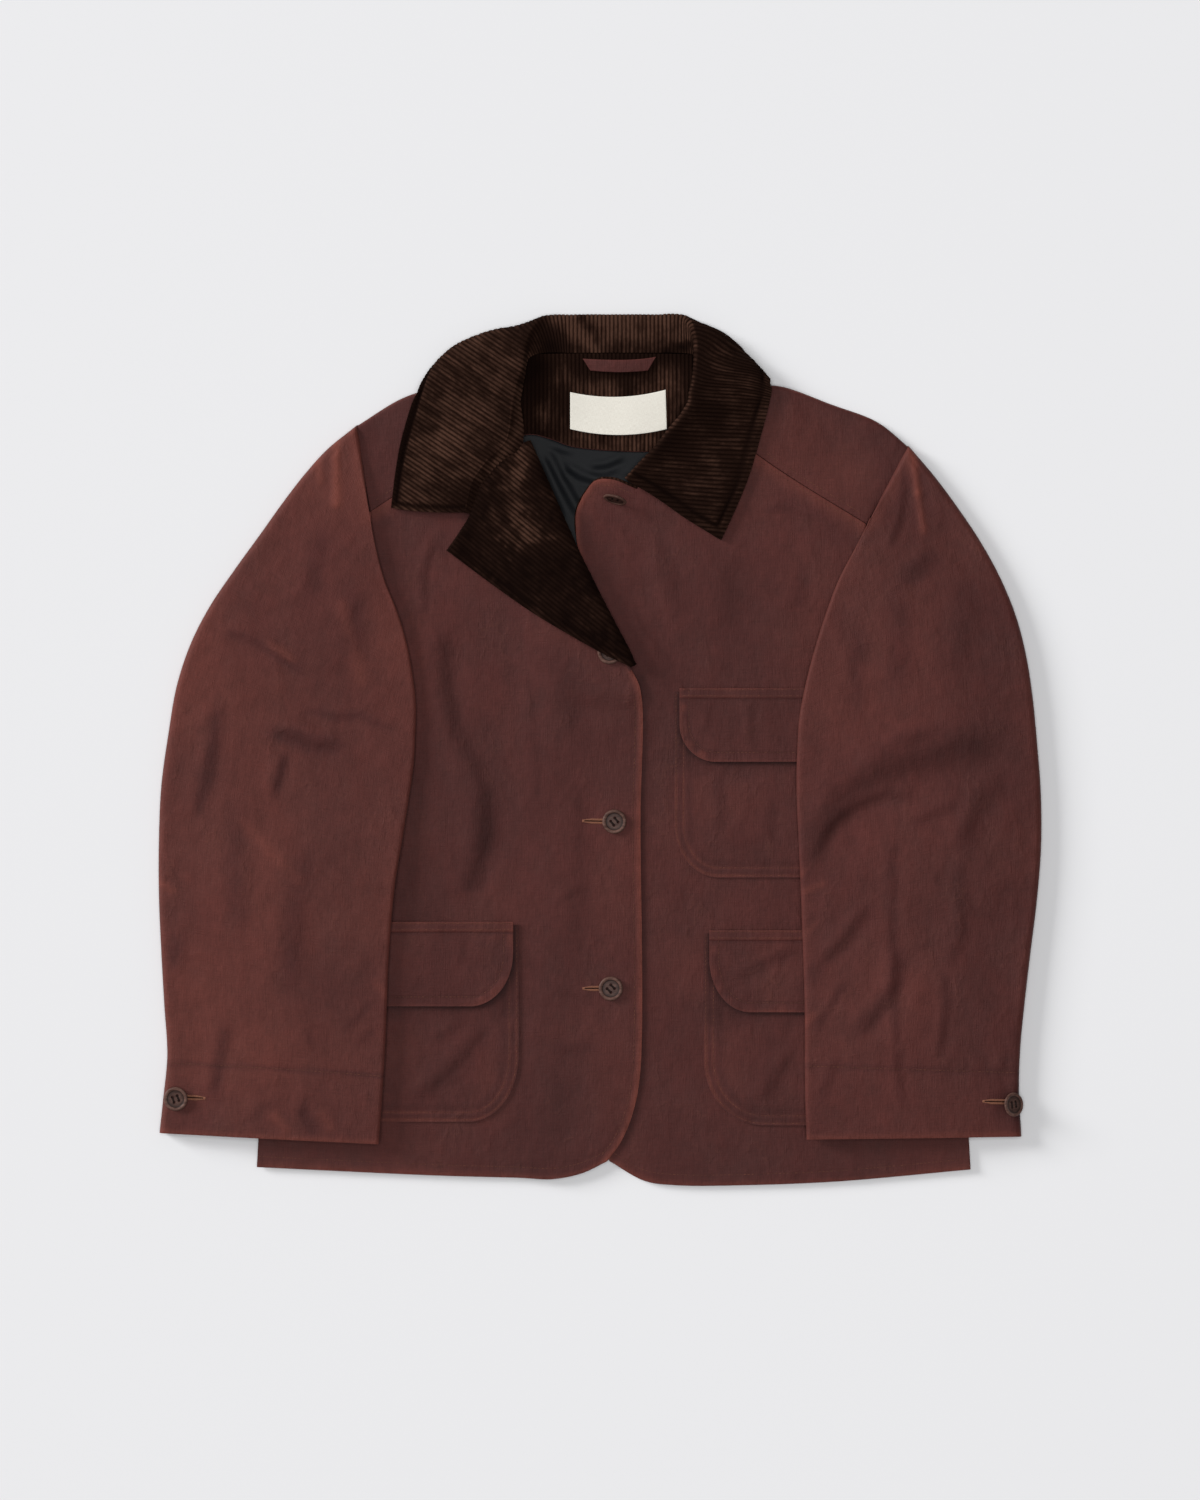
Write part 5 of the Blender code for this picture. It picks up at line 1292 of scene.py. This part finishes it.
def beside(path, by):
    """A path moved to its left by a distance, without the loops that a tight corner makes."""
    path = np.asarray(path, float)
    way = unit(np.gradient(path, axis=0))
    moved = path + np.stack([-way[:, 1], way[:, 0]], axis=1) * by
    return moved[distance(path, moved[:, 0], moved[:, 1]) > 0.97 * abs(by)]


sewn = {}            # cloth piece: its rows of stitches, as paths in plan


def make_patch(name, left, right, bottom, corner, flap_top, flap_bottom, flap_outline):
    """The patch of a pocket, stitched to the front along its sides and its rounded bottom."""
    base, front = (front_base, "front_left_cloth") if left > 0 else (lapped_base, "front_right_cloth")
    plan, outline = rounded(left, right, bottom, flap_top - 3, corner)
    x, y = plan[..., 0], plan[..., 1]
    outer_row, inner_row = PATCH_ROWS
    first_row, _ = stitched_edge(outline, x, y, outer_row, 0.2)
    second_row, _ = stitched_edge(outline, x, y, inner_row, 0.25)
    off = distance(outline, x, y)
    bend, crease = bends(POCKET_FOLDS, x, y)
    swell = (0.4 + 0.4 * rumple(x, y, 101) + np.maximum(bend, -0.3)) * ease(4, 26, off) \
        * ease(flap_bottom + 6, flap_bottom - 14, y)
    grid = raised(plan, base(x, y) + WAX + SEAM + np.maximum(first_row + second_row, -0.28) + swell)[::-1]
    # Painted shade: darker beside the stitched rows, towards the flap above, in a painted shadow round the
    # flap's edge and along folds; the stitched rows are rubbed lighter.
    tone = 0.24 * near(off - outer_row, 1.4) + 0.22 * near(off - inner_row, 1.3) \
        - 0.22 * near(off - 5.0, 1.6) - 0.25 * near(off - 12.5, 3.0) \
        - 0.35 * ease(flap_bottom - 16, flap_bottom, y) + 0.16 * waver(x, y, 34, 103) \
        - 0.75 * near(distance(flap_outline, x, y), 2.6) - 0.25 * crease
    pocket = cloth(name + "_cloth", [(grid, plan[::-1], tone[::-1])], PATCH_WALL, 1.0, WAXED)
    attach(pocket, "root")
    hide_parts(name)
    width, height = (right - left) * MM, (flap_top - bottom) * MM
    0.93 * width * height
    sewn[pocket] = [beside(outline, outer_row), beside(outline, inner_row)]


def make_flap(name, left, right, plan, outline, top, bottom):
    """The flap of a pocket: caught down by a band along its top, its free edges curling up."""
    base = front_base if left > 0 else lapped_base
    x, y = plan[..., 0], plan[..., 1]
    band = top - BAND_DEPTH
    outer_row, inner_row = FLAP_ROWS
    first_row, rub = stitched_edge(outline, x, y, outer_row, 0.2)
    second_row, _ = stitched_edge(outline, x, y, inner_row, 0.28)
    step = BAND_UP * ease(band - 1, band + 0.5, y)
    groove = -0.35 * near(y - band + 0.6, 1.0)
    off, along = measured(outline, x, y)
    below_band = ease(top - 8, top - 14, y)
    hem = near(off - 4.2, 2.6) * below_band * waver(along, 0 * along, 7, 109)
    bend, crease = bends(FLAP_FOLDS, x, y)
    swell = (0.35 + 0.35 * rumple(x, y, 105) + np.maximum(bend, -0.3)) * ease(4, 22, off) \
        + (FLAP_CURL * near(off, 7) + 0.22 * hem) * ease(top - 12, top - 36, y)
    grid = raised(plan, base(x, y) + WAX + PATCH_WALL + 2 * SEAM + step + swell
                  + np.maximum(first_row + second_row + groove, -0.3))[::-1]
    # Painted highlight just above the band seam and painted shade just below it, and painted shade along
    # the inner stitched row and along folds; edges, top and puckered hem are rubbed.
    tone = 0.18 * rub + 0.3 * hem - 0.25 * crease + 0.3 * near(y - top, 1.8) \
        + 0.16 * waver(x, y, 34, 107) + 0.25 * near(y - band - 0.8, 1.2) \
        - 0.45 * near(y - band + 1.2, 1.4) - 0.3 * near(off - inner_row, 1.3) * below_band
    flap = cloth(name + "_flap_cloth", [(grid, plan[::-1], tone[::-1])], FLAP_WALL, 1.0, WAXED)
    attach(flap, "root")
    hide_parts(name + "_flap")
    width, height = (right - left) * MM, (top - bottom) * MM
    name + "_cloth"
    0.9 * width * height
    ends = (left + FLAP_IN + 1, right - FLAP_IN - 1)
    sewn[flap] = [beside(outline, inner_row), [(end, top - 1.4) for end in ends],
                  [(end, band + 1.4) for end in ends]]


for name, (left, right, bottom, flap_top, flap_bottom, corner, flap_corner) in POCKETS.items():
    flap_plan, flap_outline = rounded(left + FLAP_IN, right - FLAP_IN, flap_bottom, flap_top, flap_corner)
    make_patch(name, left, right, bottom, corner, flap_top, flap_bottom, flap_outline)
    make_flap(name, left, right, flap_plan, flap_outline, flap_top, flap_bottom)

# ------------------------------------------------------------------ Stitching
# Tonal cotton thread in a lock stitch of about 3 mm: one row inside the edges, hems and cuffs
# and beside the shoulder seams, two round the pockets. Each stitch lies a little sunk.
STITCH = 3.3                     # from one stitch to the next
STITCH_LENGTH = 0.8 * STITCH
thread = Finish("thread", 0.75, 0.15, sheen_weight=0.05)
thread_shade = ((thread.noise(thread.body(), (240.0, 240.0, 240.0), 2.0) - 0.3) * 2.5).clipped()
thread.feed("Base Color", thread.mix(thread_shade, (0.055, 0.017, 0.012), (0.150, 0.054, 0.031)))

bpy.ops.object.select_all(action="DESELECT")
bpy.ops.mesh.primitive_uv_sphere_add(segments=6, ring_count=4, radius=0.5, rotation=(0, math.pi / 2, 0))
stitch_shape = bpy.context.active_object
bpy.ops.object.transform_apply(location=False, rotation=True, scale=True)
bpy.ops.object.mode_set(mode="EDIT")
bpy.ops.mesh.select_all(action="SELECT")
bpy.ops.transform.resize(value=(1.0, 1.0, 0.8))
bpy.ops.object.mode_set(mode="OBJECT")
STITCH_POINTS = np.array([v.co[:] for v in stitch_shape.data.vertices])
STITCH_FACES = sorted(list(face.vertices) for face in stitch_shape.data.polygons)
bpy.data.objects.remove(stitch_shape)


def stitch_ends(path):
    """Ends in plan of a row of stitches along a path."""
    path = np.asarray(path, float)
    at = lengths(path)
    start = np.arange(STITCH / 2, at[-1] - STITCH_LENGTH, STITCH)
    ends = [np.stack([np.interp(p, at, path[:, 0]), np.interp(p, at, path[:, 1])], axis=1)
            for p in (start, start + STITCH_LENGTH)]
    return np.stack(ends, axis=1)


def on_cloth(carrier, pairs):
    """The pairs of points in plan put down on a cloth piece; a pair off it is left out."""
    tree = BVHTree.FromObject(carrier, bpy.context.evaluated_depsgraph_get())
    laid = []
    for pair in pairs:
        ends = [tree.ray_cast(Vector((x * MM, y * MM, 0.2)), Vector((0, 0, -1)))[0] for x, y in pair]
        if None not in ends and abs(ends[1].z - ends[0].z) < (ends[1].xy - ends[0].xy).length + 0.2 * MM:
            laid.append([np.array(end) / MM for end in ends])
    return np.array(laid)


def stitches(name, ends, thick, material, sunk=0.3):
    """A piece of thread: one stitch between each pair of points, sunk a little in the cloth."""
    points, faces = [], []
    for first, last in ends:
        long = np.linalg.norm(last - first)
        way = unit(last - first)
        side = unit(np.cross((0.0, 0.0, 1.0) if abs(way[2]) < 0.9 else (0.0, 1.0, 0.0), way))
        axes = np.array([way * long, side * thick, np.cross(way, side) * thick])
        base = len(points) * len(STITCH_POINTS)
        points.append(STITCH_POINTS @ axes + (first + last) / 2 + (0, 0, (0.4 - sunk) * thick))
        faces += [[base + k for k in face] for face in STITCH_FACES]
    points = np.vstack(points)
    sewing = mesh_object(name, points, faces, points[:, :2], np.zeros(len(points)), material)
    apply_all(sewing)
    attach(sewing, "root")
    return sewing


left_shoulder, right_shoulder = line(SEAM_LEFT, 62), line(SEAM_RIGHT, 62, smooth=False)
sewn[front_right] = [right_hem + (0, HEM_IN), beside(right_edge[:-8], STITCH_IN),
                     beside(right_seam, -3.4)[:-6]]
sewn[front_left] = [left_hem + (0, HEM_IN), beside(line(TOP_CORNER, 40), -CORNER_IN),
                    beside(left_shoulder, 3.4)]
sewn[back] = [beside(left_shoulder, -5.5)[3:-10], beside(right_shoulder, 5.5)[3:-14]]
sewn[sleeve_left] = [[(160, -264), (370, -271)]]
sewn[sleeve_right] = [[(-366, -262), (-302, -265), (-248, -268), (-182, -273)]]
for carrier, rows in sewn.items():
    ends = on_cloth(carrier, np.vstack([stitch_ends(path) for path in rows]))
    stitches(carrier.name.replace("_cloth", "_stitches"), ends, 0.42, thread.material)

# ------------------------------------------------------------------ Buttons
# Four-hole horn-brown buttons, 20 mm across, turned with a raised rim round a dish. Four close
# the front and one each cuff; they are sewn on with dark thread.
BUTTON_R = 10.2
BUTTON_T = 2.8
BLANK_R = 8.9        # of the blank, before its rim is turned out
HOLE_OFF = 2.2
HOLE_R = 1.3
THREAD_APART = 0.45  # each of a pair of threads lies this far beside the holes' middle
THREAD_REACH = 3.1   # and ends this far from the button's middle
THREAD_UP = 1.75
BUTTON_RIDE = 0.35   # a button's back stands this far off the cloth
horn = Finish("horn", 0.5, 0.16)
horn_body = horn.body()
horn_streak = horn.noise(horn_body, (150.0, 420.0, 150.0), 4.0, 0.6)
horn_speck = horn.noise(horn_body, (900.0, 900.0, 900.0), 2.0)
horn_color = horn.mix(((horn_streak - 0.35) * 2.4 + (horn_speck - 0.5) * 0.8).clipped(),
                      (0.056, 0.0250, 0.0185), (0.155, 0.082, 0.064))
# Painted shade: the dish attribute darkens the dish a little and the ring groove round it fully.
horn.feed("Base Color", horn.mix(horn.painted("dish"), horn_color, (0.0065, 0.0030, 0.0024)))
horn.feed("Roughness", 0.4 + horn_speck * 0.2)

bpy.ops.object.select_all(action="DESELECT")
bpy.ops.mesh.primitive_cylinder_add(vertices=48, radius=BLANK_R * MM, depth=BUTTON_T * MM,
                                    location=(0, 0, BUTTON_T / 2 * MM))
blank = bpy.context.active_object
bpy.ops.object.transform_apply(location=True, rotation=False, scale=False)
bpy.ops.object.mode_set(mode="EDIT")


def pick(kind, test):
    """Selects the faces or points of the mesh in edit mode that pass a test."""
    bpy.ops.mesh.select_mode(type=kind)
    bpy.ops.mesh.select_all(action="DESELECT")
    bm = bmesh.from_edit_mesh(bpy.context.active_object.data)
    for part in bm.faces if kind == "FACE" else bm.verts:
        part.select = test(part)
    bm.select_flush_mode()
    bmesh.update_edit_mesh(bpy.context.active_object.data)


pick("FACE", lambda face: face.normal.z > 0.99)
bpy.ops.mesh.inset(thickness=1.2 * MM, depth=-0.4 * MM)
bpy.ops.mesh.inset(thickness=0.8 * MM, depth=-0.5 * MM)
bpy.ops.mesh.inset(thickness=2.2 * MM, depth=-0.05 * MM)
for height in (0.8, 1.6, 2.4):
    bpy.ops.mesh.select_all(action="SELECT")
    bpy.ops.mesh.bisect(plane_co=(0, 0, height * MM), plane_no=(0, 0, 1))
for height, wide in ((0.0, 8.0), (0.8, 9.6), (1.6, BUTTON_R), (2.4, 9.75)):
    pick("VERT", lambda v: abs(v.co.z - height * MM) < 1e-5 and v.co.xy.length > (BLANK_R - 0.1) * MM)
    bpy.ops.transform.resize(value=(wide / BLANK_R, wide / BLANK_R, 1.0))
bpy.ops.object.mode_set(mode="OBJECT")
rounding = blank.modifiers.new("edges", "BEVEL")
rounding.width = 0.22 * MM
rounding.segments = 2
rounding.limit_method = "ANGLE"
rounding.angle_limit = math.radians(25)
drills = []
for hole_x, hole_y in ((1, 1), (-1, 1), (-1, -1), (1, -1)):
    bpy.ops.object.select_all(action="DESELECT")
    bpy.ops.mesh.primitive_cylinder_add(vertices=16, radius=HOLE_R * MM, depth=4 * BUTTON_T * MM,
                                        location=(hole_x * HOLE_OFF * MM, hole_y * HOLE_OFF * MM, 0))
    drills.append(bpy.context.active_object)
    hole = blank.modifiers.new("hole", "BOOLEAN")
    hole.operation = "DIFFERENCE"
    hole.solver = "EXACT"
    hole.object = drills[-1]
apply_all(blank)
for drill in drills:
    bpy.data.objects.remove(drill)
blank.data.materials.clear()
blank.data.materials.append(horn.material)
# Painted shade: darker on the dish and darkest in the ring groove between dish and rim.
dish = blank.data.attributes.new("dish", "FLOAT", "POINT")
for value, point in zip(dish.data, blank.data.vertices):
    value.value = float(np.interp(point.co.xy.length / MM, [4.4, 6.3, 7.0, 7.6], [0.3, 0.45, 1.0, 0.0]))

button_thread = Finish("button_thread", 0.7, 0.15)
dark_twist = button_thread.noise(button_thread.body(), (2200.0, 2200.0, 2200.0))
dark_color = button_thread.mix(dark_twist, (0.005, 0.002, 0.0015), (0.016, 0.007, 0.005))
button_thread.feed("Base Color", dark_color)


def place_button(name, x, y, z, tilt_x=0.0, tilt_y=0.0, turn_z=0.0):
    """A copy of the button with the threads through its holes."""
    place = Matrix.Translation((x * MM, y * MM, z * MM)) \
        @ Euler((math.radians(tilt_x), math.radians(tilt_y), math.radians(turn_z))).to_matrix().to_4x4()
    button = bpy.data.objects.new(name + "_turned", blank.data.copy())
    button.data.transform(place)
    bpy.context.scene.collection.objects.link(button)
    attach(button, "root")
    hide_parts(name)
    ends = []
    for across in (-1, 1):
        for offset in (-THREAD_APART, THREAD_APART):
            at = (across * HOLE_OFF + offset) * MM
            pair = [place @ Vector((at, up * THREAD_REACH * MM, THREAD_UP * MM)) for up in (-1, 1)]
            ends.append([np.array(end) / MM for end in pair])
    return stitches(name + "_threads", np.array(ends), 0.9, button_thread.material)


def on_lap(x, y):
    """Height of a button's back on the right front."""
    return lapped_base(np.array([float(x)]), np.array([float(y)]))[0] + WAX + BUTTON_RIDE


def on_sleeve(side, x, y, off):
    """Height of a button's back on a sleeve, off its outer fold."""
    return sleeve_top(side, float(x), float(y), off) + BUTTON_RIDE


place_button("button_top", 13, 211, front_base(13, 211) + WAX + 9.6, tilt_x=76, turn_z=-16)
place_button("button_second", 8, 82, on_lap(8, 82), turn_z=12)
place_button("button_third", 12, -60, on_lap(12, -60), turn_z=38)
place_button("button_fourth", 9, -200, on_lap(9, -200), turn_z=45)
place_button("button_cuff_right", -355, -292, on_sleeve(-1, -355, -292, 6.0) + 0.9, tilt_y=-8, turn_z=20)
place_button("button_cuff_left", 345.5, -297, on_sleeve(1, 345, -297, 1.0) + 0.6, tilt_y=36, turn_z=8)
bpy.data.objects.remove(blank)

# ------------------------------------------------------------------ Buttonholes
# Worked in thread on both sides of a slit, with a bar at the far end. The button covers the near end of
# each. The open slit is dark pieces laid on the cloth as painted shade.
slit = Finish("buttonhole_slit", 0.9, 0.05)
slit_shade_mottle = slit.noise(slit.body(), (700.0, 700.0, 700.0))
slit.feed("Base Color", slit.mix(slit_shade_mottle, (0.004, 0.0015, 0.0012), (0.012, 0.005, 0.004)))
hole_thread = Finish("buttonhole_thread", 0.65, 0.2, sheen_weight=0.05)
hole_twist = hole_thread.noise(hole_thread.body(), (1500.0, 1500.0, 1500.0))
hole_thread.feed("Base Color", hole_thread.mix(hole_twist, (0.11, 0.038, 0.022), (0.30, 0.125, 0.070)))


def buttonhole(name, carrier, far, end):
    """A worked slit on a cloth piece from its far end to the end under the button."""
    far, end = np.array(far, float), np.array(end, float)
    length = np.linalg.norm(end - far)
    way = (end - far) / length
    side = np.array([-way[1], way[0]])
    pairs = []
    for at in np.arange(1.2, length, 0.62):
        middle = far + way * at
        for hand in (-1, 1):
            wide = 1.2 + 1.1 * min(1.0, at / 7.0)
            pairs.append([middle + side * hand * 0.3, middle + side * hand * wide])
    pairs += [[far + way * at + side * -1.3, far + way * at + side * 1.3] for at in (-0.4, 0.0, 0.4, 0.8)]
    stitches(name + "_stitches", on_cloth(carrier, pairs), 0.72, hole_thread.material, 0.15)
    cuts = [[far + way * at, far + way * (at + 5.0)] for at in np.arange(0.9, length - 4, 2.6)]
    # Painted shade: dark pieces stand for the shadow in the open slit.
    stitches(name + "_slit", on_cloth(carrier, cuts), 1.0, slit.material, 0.35)


buttonhole("buttonhole_third", front_right, (-14.2, -59.4), (4.0, -59.8))
buttonhole("buttonhole_fourth", front_right, (-14.0, -200.0), (2.0, -200.0))
buttonhole("buttonhole_cuff_right", sleeve_right, (-331.0, -291.6), (-347.5, -290.8))
buttonhole("buttonhole_cuff_left", sleeve_left, (321.0, -294.2), (339.0, -294.8))

# ------------------------------------------------------------------ Surface, light and camera
# A plain pale surface, a low broad light from the left that brings out the folds, a soft one
# from overhead and an even sky.
bpy.ops.mesh.primitive_plane_add(size=16.0, location=(0, 0, -0.0004))
floor = bpy.context.active_object
floor.name = "surface"
paper = Finish("surface", 0.9, base_color=(0.80, 0.80, 0.815, 1.0))
floor.data.materials.append(paper.material)


def area_light(name, place, size, power):
    """A square light at a place, turned to the jacket."""
    data = bpy.data.lights.new(name, "AREA")
    data.size = size
    data.energy = power
    light = bpy.data.objects.new(name, data)
    light.location = place
    light.rotation_euler = (-Vector(place)).to_track_quat("-Z", "Y").to_euler()
    bpy.context.scene.collection.objects.link(light)


area_light("key", (-36.0, 16.5, 14.0), 13.8, 17600.0)
area_light("overhead", (0.0, 0.0, 12.0), 7.0, 800.0)
sky = bpy.data.worlds.new("sky")
sky.use_nodes = True
background = sky.node_tree.nodes["Background"]
background.inputs["Color"].default_value = (1.0, 1.0, 1.0, 1.0)
background.inputs["Strength"].default_value = 0.20
bpy.context.scene.world = sky
bpy.context.scene.view_settings.view_transform = "Standard"

CAMERA_UP = 4.0
VIEW_HIGH = 1.26     # what the picture's long side takes in, in metres
cam = bpy.data.cameras.new("camera")
cam.sensor_width = 36
cam.lens = 36 * CAMERA_UP / VIEW_HIGH
camera = bpy.data.objects.new("camera", cam)
camera.location = (0, 0, CAMERA_UP)
bpy.context.scene.collection.objects.link(camera)
bpy.context.scene.camera = camera
